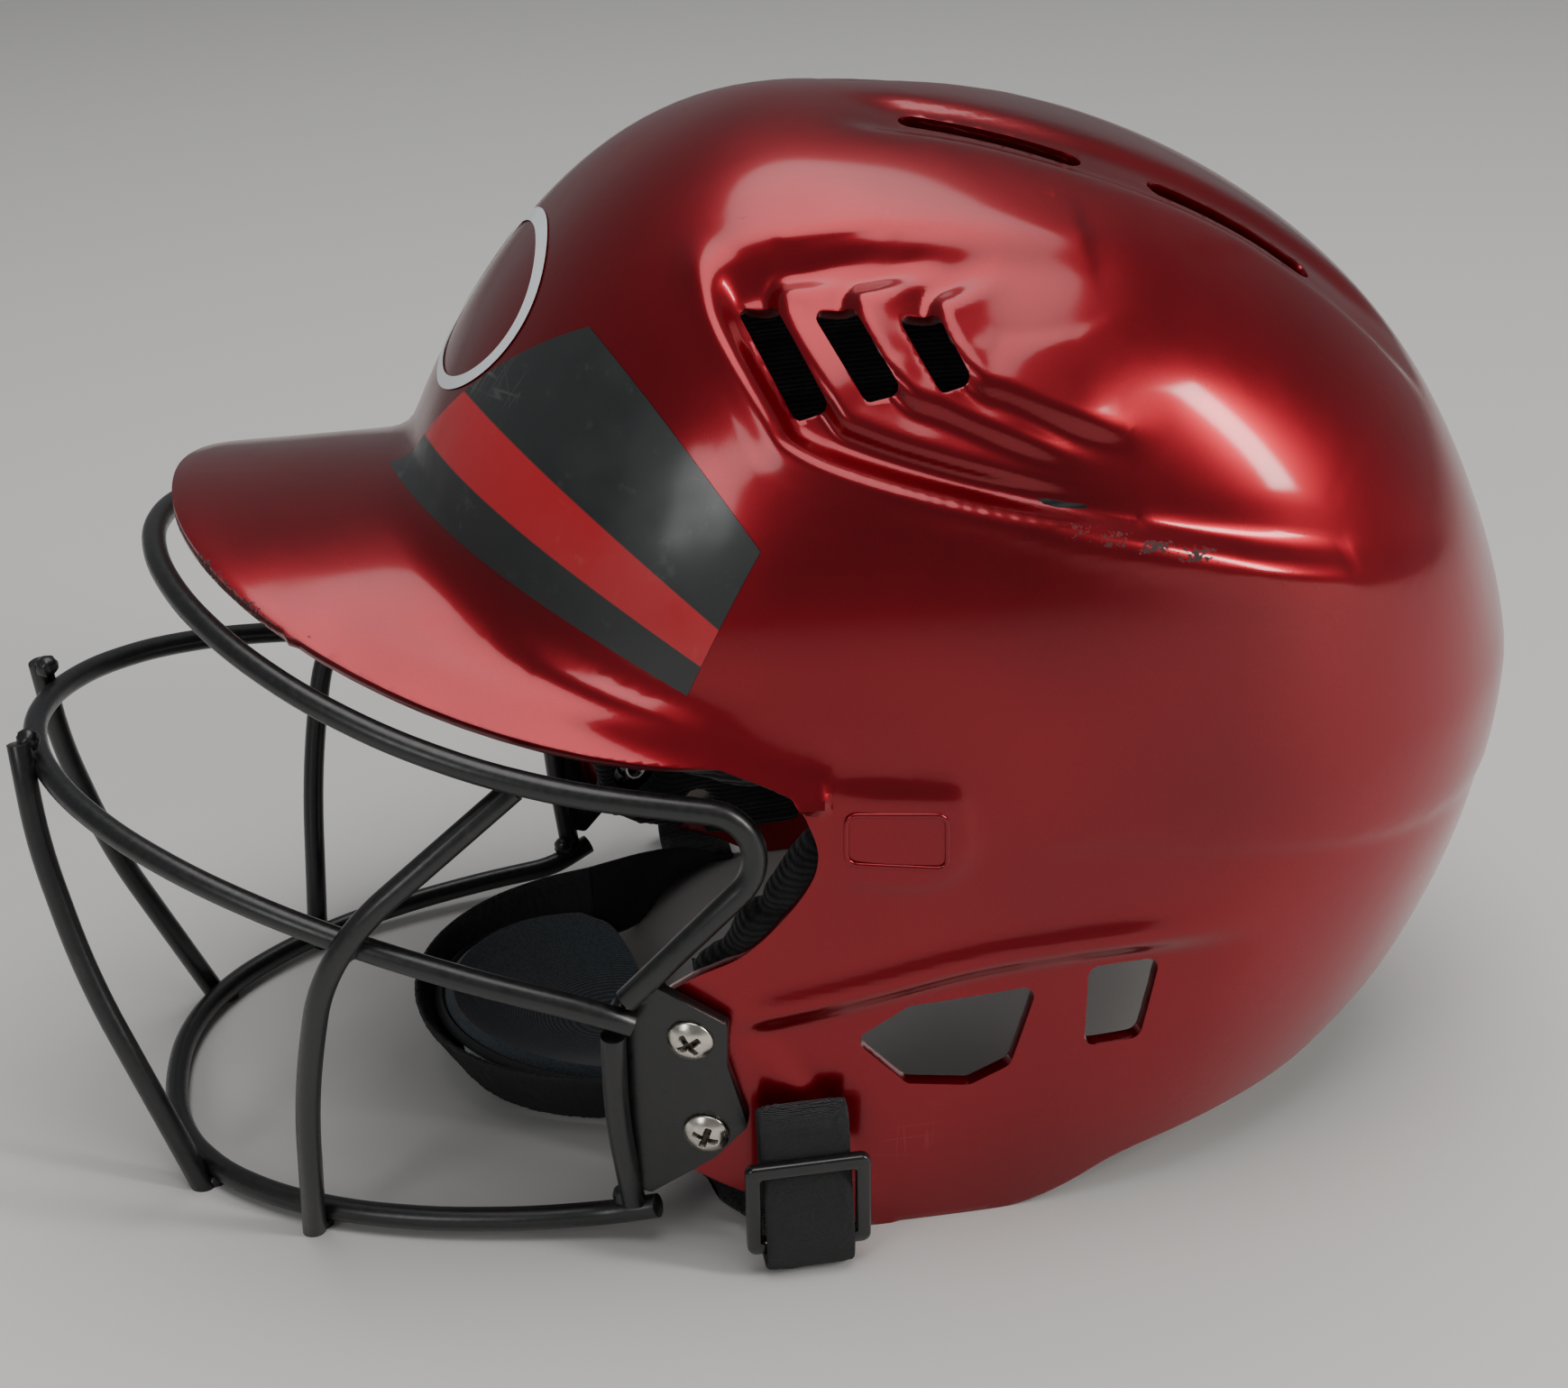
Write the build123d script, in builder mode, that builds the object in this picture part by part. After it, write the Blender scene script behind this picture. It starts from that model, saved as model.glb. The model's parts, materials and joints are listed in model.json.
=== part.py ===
"""Batting helmet with a bolted wire face guard and a chin cup.

Millimetres, +Z up. The face looks along -Y, and the wearer's left is +X. The origin lies on the
surface that the helmet stands on, under the middle of its bounding box.
"""

import os
from math import cos, pi, radians, sin, tan

from build123d import *

os.makedirs("parts", exist_ok=True)

# Shell: one moulding, with the bill, both ear flaps and the vents.
shell_length = 255.5
shell_width = 206.0
shell_height = 226.6
shell_front = -88.0
shell_wall = 3.0
dome_centre = 44.0
crown_centre = 12.0
crown_start = 0.66
crown_bend = 1.3
ring_points = 20
dome_squareness = 2.3
jaw_squareness = 0.5
jaw_top = 130.0
jaw_blend = 60.0
slope_step = 5.0
cut_past = 20.0

# Each station of the dome: its height, its front and back along the length, and its half width,
# all as shares of the shell's own height, length and half width.
dome_stations = [
    (-0.030, 0.018, 0.800, 0.845),
    (0.088, 0.008, 0.885, 0.917),
    (0.199, 0.004, 0.943, 0.961),
    (0.309, 0.000, 0.982, 0.985),
    (0.419, 0.000, 1.000, 1.000),
    (0.530, 0.008, 0.990, 1.000),
    (0.640, 0.029, 0.945, 0.971),
    (0.750, 0.080, 0.883, 0.898),
    (0.838, 0.135, 0.808, 0.777),
    (0.905, 0.184, 0.734, 0.631),
    (0.949, 0.235, 0.650, 0.476),
    (0.980, 0.294, 0.544, 0.282),
    (1.000, 0.341, 0.454, 0.126),
]

# Bill: an arched band, cut to a rounded outline in plan.
bill_radius = 150.0
bill_top = 152.2
bill_wall = 3.0
bill_reach = 127.0
bill_root = -5.5
bill_half_width = 98.0
bill_fullness = 2.2
bill_steps = 8

# Ear flaps and rim, as points (y, z) seen from the side.
flap_rest_front = 6.0
flap_rest_back = 36.0
rim_points = [(61.0, 10.4), (82.0, 15.8), (102.0, 20.6), (118.0, 28.7), (140.0, 37.0)]
flap_toe_points = [(-6.0, 8.0), (-20.0, 12.0), (-33.0, 20.0), (-40.0, 30.0)]
flap_front_points = [(-40.5, 46.0), (-40.0, 60.0), (-30.4, 69.0), (-19.0, 75.3)]
flap_corner_points = [(-7.8, 88.0), (-4.5, 97.0), (-6.5, 105.0), (-14.0, 112.0)]
ear_hole_points = [(-0.8, 52.0), (11.2, 59.5), (42.5, 61.5), (36.5, 41.0), (27.0, 36.5), (11.0, 39.0)]
ear_slot_points = [(51.4, 63.6), (65.4, 63.8), (61.5, 43.2), (50.8, 43.2)]
ear_hole_corner = 3.0
side_slits = [
    [(-10.8, 200.4), (-5.0, 200.5), (2.9, 183.0), (-2.3, 181.3)],
    [(3.9, 198.8), (9.8, 198.9), (16.8, 185.4), (11.5, 184.2)],
    [(20.2, 197.0), (25.7, 196.7), (30.3, 186.1), (25.8, 184.9)],
]
slit_corner = 1.6
crown_slots = [((19.0, 34.0), (29.0, 64.0)), ((32.0, 84.0), (36.0, 112.0))]
crown_slot_width = 6.5
crown_slot_depth = 60.0

# Face guard: bent round wire, welded where the bars cross.
wire = 5.2
weld = 0.6
guard_reach = 164.8
top_reach = 132.9
bottom_reach = 146.4
side_bend_inset = 6.2
side_bend = (-5.0, 102.5)
bottom_inset = 3.6
middle_end_place = (-43.0, 60.5)
top_start_place = (-44.0, 66.0)
bottom_end_place = (-40.0, 9.5)
hoop_shares = [0.0, 0.19, 0.37, 0.54, 0.69, 0.81, 0.9, 0.96, 0.99]

# Each hoop: bulge, y of its widest place, power, and its height in front with its fall and lift.
middle_hoop = (1.9, -37.2, 2.0, (99.0, -34.3, -5.0))
top_hoop = (1.94, -9.5, 2.29, (141.2, -61.4, 26.5))
bottom_hoop = (2.48, -33.8, 1.93, (3.4, 1.4, 2.1))

# Uprights: the depths at which they cross the hoops, and how far they stray from a straight line.
front_top_y = -160.6
front_foot_y = -136.0
front_tip = Vector(-1, 0, 6)
front_turn = Vector(3, 1, -16)
front_bow = Vector(0, -5, 0)
side_top_y = -63.0
side_cross_y = -100.0
side_foot_y = -111.0
side_stand_off = 1.6
side_bow = Vector(3, -3, 2)
foot_excess = 0.16
end_bar_places = [(-47.0, 57.5), (-47.4, 36.0), (-45.0, 11.0)]
end_bar_insets = (1.5, 0.0, 1.0)

# Guard plates, bolted flat on the outside of each flap.
plate_wall = 2.5
plate_seat = 0.5
plate_centre = (-32.0, 43.0)
plate_outline = [
    (-44.5, 62.0), (-38.4, 70.0), (-23.5, 60.5), (-23.9, 50.0),
    (-20.2, 34.0), (-27.0, 25.0), (-40.5, 14.0), (-44.0, 15.5),
]
plate_corner = 1.5
screw_places = [(-31.7, 55.9), (-29.3, 31.4)]
screw_head = 9.8
screw_head_height = 2.4
screw_head_taper = 25.0
screw_shank = 4.0
screw_clearance = 0.3
recess_length = 5.0
recess_width = 1.3
recess_depth = 1.4
nut_flange = 13.0
nut_flange_wall = 1.4
nut_barrel = 6.4
nut_depth = 6.0
nut_gap = 0.8
screw_length = 11.0

# Padding, set off the inside of the shell.
pad_gap = 0.5
pad_wall = 12.0
pad_corner = 5.0
side_pad_corner = 2.0
brow_pad_half = 58.0
brow_pad_middle = 141.0
brow_pad_height = 46.0
back_pad_half = 52.0
back_pads_from = 100.0
back_pad_middle = 122.0
back_pad_height = 56.0
nape_pad_middle = 68.0
nape_pad_height = 44.0
crown_pad_width = 26.0
crown_pad_length = 118.0
crown_pad_middle = 34.0
crown_pad_drop = 40.0
pocket_clearance = 1.0
pad_side_gap = 2.0
side_pads_from = 40.0
temple_pad_outline = [(-52, 118), (-16, 108), (-8, 111), (-8, 152), (-48, 160)]
side_pad_outline = [(-2, 110), (78, 108), (78, 160), (40, 166), (-2, 162)]
rear_side_pad_outline = [(84, 52), (126, 58), (126, 146), (84, 152)]
ear_pad_outline = [
    (-37, 26), (-37, 60), (-27, 66), (-15, 72), (-4, 86), (-1, 100), (76, 100), (76, 72),
    (40, 67), (8, 65), (-5, 55), (-5, 36), (6, 29), (18, 20), (18, 12), (-4, 12), (-20, 16),
]

# Chin cup and its webbing.
swing_z = 1.6
cup_centre_y = -42.0
cup_radius = 45.0
cup_height = 26.0
cup_wall = 3.4
liner_wall = 3.0
liner_gap = 0.3
strap_width = 19.0
strap_wall = 1.8
strap_root_inset = 7.0
strap_run_heights = (14.0, 10.5, 6.6)
strap_sink = 1.0
strap_y = -10.0
strap_gap = 0.8
fold_z = 37.5
fold_room = 4.6
fold_radius = 1.3
tongue_turns = (18.5, 26.5)
tongue_turn_radius = 4.0
tongue_root_radius = 2.0
tongue_end_z = 12.0
slide_bar = 3.0
slide_height = 24.0
slide_clearance = 0.6
slide_wall = 2.6
slide_lean = 0.16
slide_z = 17.5
slide_corner = 2.0
rivet_head = 9.0
rivet_shank = 4.0
rivet_z = 20.0
rivet_head_wall = 1.2
rivet_gap = 0.9


def front_squareness(z):
    """How square the front of the dome's section is: more so from the jaw down."""
    return dome_squareness + jaw_squareness * min(max((jaw_top - z) / jaw_blend, 0), 1)


def ring(height, front, back, half, inset):
    """Points of one closed section of the dome, drawn in by inset on every side."""
    z = height * shell_height
    rise = max(height - crown_start, 0) / (1 - crown_start)
    middle = dome_centre - (dome_centre - crown_centre) * rise**crown_bend
    reach_front = middle - shell_front - front * shell_length
    reach_back = shell_front + back * shell_length - middle
    narrow = 1 - 2 * inset / shell_width
    shorten = 1 - 2 * inset / shell_length
    points = []
    for k in range(ring_points):
        turn = 2 * pi * k / ring_points
        c, s = cos(turn), sin(turn)
        power = 2 / (dome_squareness if s > 0 else front_squareness(z))
        reach = reach_back if s > 0 else reach_front
        x = half * shell_width / 2 * narrow * abs(c) ** power * (1 if c > 0 else -1)
        y = middle + reach * shorten * abs(s) ** power * (1 if s > 0 else -1)
        points.append((x, y))
    return points


def dome(inset):
    """The closed solid of the dome, drawn in by inset."""
    with BuildPart() as body:
        for height, front, back, half in dome_stations:
            with BuildSketch(Plane.XY.offset(height * (shell_height - inset))):
                with BuildLine():
                    Spline(*ring(height, front, back, half, inset), periodic=True)
                make_face()
        loft()
    return body.part


def wall_x(y, z):
    """How far out the dome's surface lies on the left at a place on a flap."""
    height = z / shell_height
    below = [s for s in dome_stations if s[0] <= height][-1]
    above = [s for s in dome_stations if s[0] > height][0]
    share = (height - below[0]) / (above[0] - below[0])
    front, back, half = (low + share * (high - low) for low, high in zip(below[1:], above[1:]))
    if y > dome_centre:
        reach, squareness = shell_front + back * shell_length - dome_centre, dome_squareness
    else:
        reach = dome_centre - shell_front - front * shell_length
        squareness = front_squareness(z)
    fall = (abs(y - dome_centre) / reach) ** squareness
    return half * shell_width / 2 * (1 - fall) ** (1 / squareness)


def smooth_path(points):
    """A wire of straight runs, with arcs as large as the runs allow at each bend."""
    corners = [Vector(*p) for p in points]
    radii = []
    for before, here, after in zip(corners, corners[1:], corners[2:]):
        turn = radians((here - before).get_angle(after - here))
        run = min((here - before).length, (after - here).length)
        radii.append(0.45 * run / tan(turn / 2))
    return FilletPolyline(*points, radius=radii)


def bar(points):
    """A round bar along a path of points."""
    start = Vector(*points[0])
    with BuildPart() as body:
        with BuildLine():
            smooth_path(points)
        with BuildSketch(Plane(origin=start, z_dir=Vector(*points[1]) - start)):
            Circle(wire / 2)
        sweep()
    return body.part


def save(part, name):
    """Label a piece and write it as its own STEP file."""
    part.label = name
    export_step(part, f"parts/{name}.step")


def save_pair(part, name):
    """Write a piece of the left side, and its mirror image on the right."""
    save(part, f"{name}_left")
    save(part.mirror(Plane.YZ), f"{name}_right")


# The shell.
side_reach = shell_width / 2 + cut_past
bill_centre = bill_top - bill_radius

with BuildPart() as face_opening:
    with BuildSketch(Plane.YZ):
        with BuildLine():
            Line((flap_rest_front, 0), (flap_rest_back, 0))
            Spline((flap_rest_back, 0), *rim_points)
            Spline((flap_rest_front, 0), *flap_toe_points)
            Spline(flap_toe_points[-1], *flap_front_points, *flap_corner_points)
            Polyline(
                flap_corner_points[-1],
                (flap_corner_points[-1][0], bill_top + bill_wall),
                (-bill_reach - cut_past, bill_top + bill_wall),
                (-bill_reach - cut_past, -cut_past),
                (shell_length, -cut_past),
                (shell_length, rim_points[-1][1]),
                rim_points[-1],
            )
        make_face()
    extrude(amount=side_reach, both=True)
    with BuildSketch(Plane.XZ.offset(bill_reach + 2 * cut_past)):
        with Locations((0, bill_centre)):
            Circle(bill_radius - bill_wall)
    extrude(amount=-2 * shell_length, mode=Mode.INTERSECT)

with BuildPart() as bill:
    with BuildSketch(Plane.XZ.offset(-bill_root)):
        with Locations((0, bill_centre)):
            Circle(bill_radius)
            Circle(bill_radius - bill_wall, mode=Mode.SUBTRACT)
        with Locations((0, bill_top)):
            Rectangle(2 * bill_half_width, bill_radius, mode=Mode.INTERSECT)
    extrude(amount=bill_reach + bill_root + cut_past)
    with BuildSketch(Plane.XY):
        with BuildLine():
            outline = []
            for k in range(-bill_steps, bill_steps + 1):
                share = sin(k / bill_steps * pi / 2)
                depth = (1 - abs(share) ** bill_fullness) ** 0.5
                outline.append((bill_half_width * share, bill_root - (bill_reach + bill_root) * depth))
            Spline(*outline)
            Polyline(outline[-1], (bill_half_width, cut_past), (-bill_half_width, cut_past), outline[0])
        make_face()
    extrude(amount=shell_height, mode=Mode.INTERSECT)

# The seat of the left guard plate touches the flap at the plate's centre.
seat_y, seat_z = plate_centre
plate_turn = wall_x(seat_y + slope_step, seat_z) - wall_x(seat_y - slope_step, seat_z)
plate_lean = wall_x(seat_y, seat_z + slope_step) - wall_x(seat_y, seat_z - slope_step)
plate_turn, plate_lean = plate_turn / (2 * slope_step), plate_lean / (2 * slope_step)
seat_x = wall_x(seat_y, seat_z) + plate_seat
seat = Plane(
    origin=(seat_x, seat_y, seat_z),
    x_dir=(plate_turn, 1, 0),
    z_dir=(1, -plate_turn, -plate_lean),
)


def on_seat(y, z):
    """Where a place on the flap, seen from the side, lies on the plate's seat."""
    x = seat_x + plate_turn * (y - seat_y) + plate_lean * (z - seat_z)
    local = seat.to_local_coords(Vector(x, y, z))
    return local.X, local.Y


def guard_x(y, z):
    """How far out a bar lies that is welded on the outside of the plate."""
    return seat_x + plate_turn * (y - seat_y) + plate_lean * (z - seat_z) + plate_wall + wire / 2 - weld


screw_seats = [on_seat(*place) for place in screw_places]
rivet_x = wall_x(strap_y, rivet_z)

with BuildPart() as drilling:
    with BuildSketch(seat.offset(-screw_length)):
        with Locations(*screw_seats):
            Circle(screw_shank / 2 + screw_clearance)
    extrude(amount=2 * screw_length)
    with BuildSketch(Plane.YZ.offset(rivet_x - screw_length)):
        with Locations((strap_y, rivet_z)):
            Circle(rivet_shank / 2 + screw_clearance)
    extrude(amount=2 * screw_length)

with BuildPart() as shell:
    add(dome(0))
    add(bill.part)
    add(dome(shell_wall), mode=Mode.SUBTRACT)
    add(face_opening.part, mode=Mode.SUBTRACT)
    for corner, outlines in (
        (ear_hole_corner, [ear_hole_points, ear_slot_points]),
        (slit_corner, side_slits),
    ):
        for points in outlines:
            with BuildSketch(Plane.YZ) as hole:
                with BuildLine():
                    Polyline(*points, close=True)
                make_face()
                fillet(hole.vertices(), corner)
            extrude(amount=side_reach, both=True, mode=Mode.SUBTRACT)
    with BuildSketch(Plane.XY.offset(shell_height)):
        for (x0, y0), (x1, y1) in crown_slots:
            for side in (1, -1):
                along = Vector(side * (x1 - x0), y1 - y0)
                with Locations((side * (x0 + x1) / 2, (y0 + y1) / 2)):
                    tilt = Vector(1, 0).get_signed_angle(along)
                    SlotCenterToCenter(along.length, crown_slot_width, rotation=tilt)
    extrude(amount=-crown_slot_depth, mode=Mode.SUBTRACT)
    add(drilling.part, mode=Mode.SUBTRACT)
    add(drilling.part.mirror(Plane.YZ), mode=Mode.SUBTRACT)
save(shell.part, "shell")

# Guard plates, screws and nuts.
with BuildPart() as guard_plate:
    with BuildSketch(seat) as plate_face:
        with BuildLine():
            Polyline(*[on_seat(*place) for place in plate_outline], close=True)
        make_face()
        fillet(plate_face.vertices(), plate_corner)
        with Locations(*screw_seats):
            Circle(screw_shank / 2 + screw_clearance, mode=Mode.SUBTRACT)
    extrude(amount=plate_wall)
save_pair(guard_plate.part, "guard_plate")

with BuildPart() as guard_screws:
    with BuildSketch(seat.offset(plate_wall)):
        with Locations(*screw_seats):
            Circle(screw_head / 2)
    extrude(amount=screw_head_height, taper=screw_head_taper)
    with BuildSketch(seat.offset(plate_wall)):
        with Locations(*screw_seats):
            Circle(screw_shank / 2)
    extrude(amount=-screw_length)
    with BuildSketch(seat.offset(plate_wall + screw_head_height)):
        with Locations(*screw_seats):
            Rectangle(recess_length, recess_width)
            Rectangle(recess_width, recess_length)
    extrude(amount=-recess_depth, mode=Mode.SUBTRACT)
save_pair(guard_screws.part, "guard_screws")

nut_seat = plate_seat + shell_wall + nut_gap
with BuildPart() as guard_nuts:
    with BuildSketch(seat.offset(-nut_seat)):
        with Locations(*screw_seats):
            Circle(nut_flange / 2)
            Circle(screw_shank / 2, mode=Mode.SUBTRACT)
    extrude(amount=-nut_flange_wall)
    with BuildSketch(seat.offset(-nut_seat)):
        with Locations(*screw_seats):
            Circle(nut_barrel / 2)
            Circle(screw_shank / 2, mode=Mode.SUBTRACT)
    extrude(amount=-nut_depth)
save_pair(guard_nuts.part, "guard_nuts")

# Face guard.
side_bend_x = shell_width / 2 - side_bend_inset
middle_end = (guard_x(*middle_end_place), *middle_end_place)
top_start = (guard_x(*top_start_place) - weld, *top_start_place)
top_bend = (side_bend_x, *side_bend)
bottom_end = (guard_x(*bottom_end_place) - wire / 2, *bottom_end_place)
bottom_half_width = bottom_end[0] - bottom_inset


def half_hoop(half_width, front_reach, hoop):
    """Points of the left half of a guard hoop, from the middle of the face back to the flap."""
    bulge, root_y, power, (front_z, fall, lift) = hoop
    reach = front_reach + root_y
    points = []
    for share in hoop_shares:
        depth = (1 - share**bulge) ** (1 / power)
        back = 1 - depth
        points.append((half_width * share, root_y - reach * depth, front_z + fall * back + lift * back**2))
    return points


def whole(half):
    """Both halves of a hoop, from the right end round to the left end."""
    return [(-x, y, z) for x, y, z in reversed(half[1:])] + half


middle_half = half_hoop(middle_end[0], guard_reach, middle_hoop)
top_half = half_hoop(side_bend_x, top_reach, top_hoop)
bottom_half = half_hoop(bottom_half_width, bottom_reach, bottom_hoop)
guard_hoops = {
    "guard_middle_bar": middle_half + [middle_end],
    "guard_top_bar": top_half[:-1] + [top_bend, top_start],
    "guard_bottom_bar": bottom_half + [bottom_end],
}
for name, half in guard_hoops.items():
    save(bar(whole(half)), name)


def beside(half, y):
    """The place on a hoop's left half at a depth y, and the direction out from it in plan."""
    for (x0, y0, z0), (x1, y1, z1) in zip(half, half[1:]):
        if y0 <= y <= y1:
            share = (y - y0) / (y1 - y0)
            place = Vector(x0 + share * (x1 - x0), y, z0 + share * (z1 - z0))
            return place, Vector(y1 - y0, x0 - x1, 0).normalized()
    raise ValueError("the depth lies off the hoop")


step_out = wire - weld
front_top, front_out = beside(middle_half, front_top_y)
front_foot, foot_out = beside(bottom_half, front_foot_y)
side_top, side_out = beside(top_half, side_top_y)
side_cross, cross_out = beside(middle_half, side_cross_y)
side_foot, side_foot_out = beside(bottom_half, side_foot_y)

front_path = [
    front_top + front_out * step_out + front_tip,
    front_top + front_out * step_out + front_turn,
    (front_top + front_foot) / 2 + front_out * step_out + front_bow,
    front_foot + foot_out * step_out,
]
side_path = [
    side_top - side_out * wire / 2 - Vector(0, 0, wire / 2 + weld),
    side_cross + cross_out * (step_out + side_stand_off),
    (side_cross + side_foot) / 2 + cross_out * step_out + side_bow,
    side_foot + side_foot_out * step_out,
]
for path in (front_path, side_path):
    path[-1] += (path[-1] - path[-2]) * foot_excess
end_xs = (middle_end[0], guard_x(*end_bar_places[1]), bottom_end[0])
end_path = [
    Vector(x - inset, *place)
    for x, inset, place in zip(end_xs, end_bar_insets, end_bar_places)
]

for name, path in (
    ("guard_front_bar", front_path),
    ("guard_side_bar", side_path),
    ("guard_end_bar", end_path),
):
    with BuildPart() as upright:
        add(bar([tuple(p) for p in path]))
        with Locations((0, 0, -cut_past)):
            Box(4 * guard_reach, 4 * guard_reach, 2 * cut_past, mode=Mode.SUBTRACT)
    save_pair(upright.part, name)

# Padding.
with BuildPart() as lining:
    add(dome(shell_wall + pad_gap))
    add(dome(shell_wall + pad_gap + pad_wall), mode=Mode.SUBTRACT)

with BuildPart() as brow_pad:
    with BuildSketch(Plane.XZ):
        with Locations((0, brow_pad_middle)):
            RectangleRounded(2 * brow_pad_half, brow_pad_height, pad_corner)
    extrude(amount=bill_reach)
    add(lining.part, mode=Mode.INTERSECT)
save(brow_pad.part, "brow_pad")

with BuildPart() as back_pad:
    with BuildSketch(Plane.XZ.offset(-back_pads_from)):
        with Locations((0, back_pad_middle)):
            RectangleRounded(2 * back_pad_half, back_pad_height, pad_corner)
    extrude(amount=-shell_length)
    add(lining.part, mode=Mode.INTERSECT)
save(back_pad.part, "back_pad")

with BuildPart() as nape_pad:
    with BuildSketch(Plane.XZ.offset(-back_pads_from)):
        with Locations((0, nape_pad_middle)):
            RectangleRounded(2 * back_pad_half, nape_pad_height, pad_corner)
    extrude(amount=-shell_length)
    add(lining.part, mode=Mode.INTERSECT)
save(nape_pad.part, "nape_pad")

with BuildPart() as crown_pad:
    with BuildSketch(Plane.XY.offset(shell_height - crown_pad_drop)):
        with Locations((0, crown_pad_middle)):
            RectangleRounded(crown_pad_width, crown_pad_length, pad_corner)
    extrude(amount=crown_pad_drop)
    add(lining.part, mode=Mode.INTERSECT)
save(crown_pad.part, "crown_pad")

side_pads = {
    "temple_pad": (brow_pad_half + pad_side_gap, temple_pad_outline),
    "side_pad": (side_pads_from, side_pad_outline),
    "rear_side_pad": (back_pad_half + pad_side_gap, rear_side_pad_outline),
    "ear_pad": (side_pads_from, ear_pad_outline),
}
for name, (inner_x, outline) in side_pads.items():
    with BuildPart() as pad:
        with BuildSketch(Plane.YZ.offset(inner_x)) as pad_face:
            with BuildLine():
                Polyline(*outline, close=True)
            make_face()
            fillet(pad_face.vertices(), side_pad_corner)
        extrude(amount=side_reach)
        add(lining.part, mode=Mode.INTERSECT)
        if name == "ear_pad":
            with BuildSketch(seat):
                with Locations(*screw_seats):
                    Circle(nut_flange / 2 + pocket_clearance)
            extrude(amount=cut_past, both=True, mode=Mode.SUBTRACT)
            with BuildSketch(Plane.YZ.offset(inner_x)):
                with Locations((strap_y, rivet_z)):
                    Circle(rivet_head / 2 + pocket_clearance)
            extrude(amount=side_reach, mode=Mode.SUBTRACT)
    save_pair(pad.part, name)

# Chin cup and webbing.
def bowl(outer, wall):
    """Half of a round bowl, open at the top and behind, drawn in by outer from the cup's outside."""
    sides = [cup_radius - outer, cup_radius - outer - wall]
    depths = [cup_height - outer, cup_height - outer - wall]
    with BuildPart() as body:
        with BuildSketch(Plane.XZ.offset(-cup_centre_y)):
            with BuildLine():
                for side, depth in zip(sides, depths):
                    EllipticalCenterArc((0, cup_height), side, depth, -90, arc_size=90)
                Line((0, cup_height - depths[0]), (0, cup_height - depths[1]))
                Line((sides[0], cup_height), (sides[1], cup_height))
            make_face()
        revolve(axis=Axis((0, cup_centre_y, 0), (0, 0, 1)), revolution_arc=-180)
    return body.part


save(bowl(0, cup_wall), "chin_cup")
save(bowl(cup_wall + liner_gap, liner_wall), "chin_cup_liner")

strap_root_x = rivet_x - strap_root_inset
run_heights = [*strap_run_heights, swing_z]
run_start = Vector(cup_radius - strap_sink, cup_centre_y - strap_sink, run_heights[0])
run_end = Vector(strap_root_x, strap_y, swing_z)
with BuildPart() as chin_strap:
    for k, height in enumerate(run_heights):
        share = k / (len(run_heights) - 1)
        place = run_start + (run_end - run_start) * share
        heading = Vector(run_end.X - run_start.X, (run_end.Y - run_start.Y) * (1 - share), 0)
        flat = Vector(0, 0, 1).rotate(Axis.X, -90 * share) if share < 1 else Vector(0, 1, 0)
        with BuildSketch(Plane(origin=(place.X, place.Y, height), x_dir=flat, z_dir=heading)):
            Rectangle(strap_width, strap_wall)
    loft()
save_pair(chin_strap.part, "chin_strap")

strap_edge_y = strap_y + strap_width / 2


def tail_x(z):
    """How far out the strap's inner layer lies, just clear of the flap along its rear edge."""
    return wall_x(strap_edge_y, z) + strap_gap + strap_wall / 2


front_x = tail_x(fold_z) + fold_room
turn_low, turn_high = tongue_turns
with BuildPart() as strap_tongue:
    with BuildSketch(Plane.XZ.offset(-strap_edge_y)):
        with BuildLine():
            FilletPolyline(
                (strap_root_x, swing_z),
                (front_x + strap_wall, swing_z),
                (front_x + strap_wall, turn_low),
                (front_x - strap_wall / 2, turn_high),
                (front_x - strap_wall / 2, fold_z),
                (tail_x(fold_z), fold_z),
                (tail_x(rivet_z), rivet_z),
                (tail_x(tongue_end_z), tongue_end_z),
                radius=[
                    tongue_root_radius, tongue_turn_radius, tongue_turn_radius,
                    fold_radius, fold_radius, tongue_turn_radius,
                ],
            )
        trace(line_width=strap_wall)
    extrude(amount=strap_width)
save_pair(strap_tongue.part, "strap_tongue")
with BuildPart() as strap_slide:
    window = strap_width + 2 * slide_clearance
    middle = (front_x, strap_y, slide_z)
    with BuildSketch(Plane(origin=middle, x_dir=(0, 1, 0), z_dir=(1, 0, -slide_lean))):
        RectangleRounded(window + 2 * slide_bar, slide_height, slide_corner)
        Rectangle(window, slide_height - 2 * slide_bar, mode=Mode.SUBTRACT)
    extrude(amount=slide_wall / 2, both=True)
save_pair(strap_slide.part, "strap_slide")

head_x = tail_x(rivet_z) + strap_wall / 2
inside_x = rivet_x - shell_wall - rivet_gap
with BuildPart() as strap_rivet:
    for x, radius, length in (
        (head_x, rivet_head / 2, rivet_head_wall),
        (head_x, rivet_shank / 2, inside_x - head_x - rivet_head_wall),
        (inside_x, rivet_head / 2, -rivet_head_wall),
    ):
        with BuildSketch(Plane.YZ.offset(x)):
            with Locations((strap_y, rivet_z)):
                Circle(radius)
        extrude(amount=length)
save_pair(strap_rivet.part, "strap_rivet")
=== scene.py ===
import json
from math import cos, pi, radians, sin

import bmesh
import bpy
import numpy as np
from mathutils import Matrix, Vector, kdtree, noise

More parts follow.
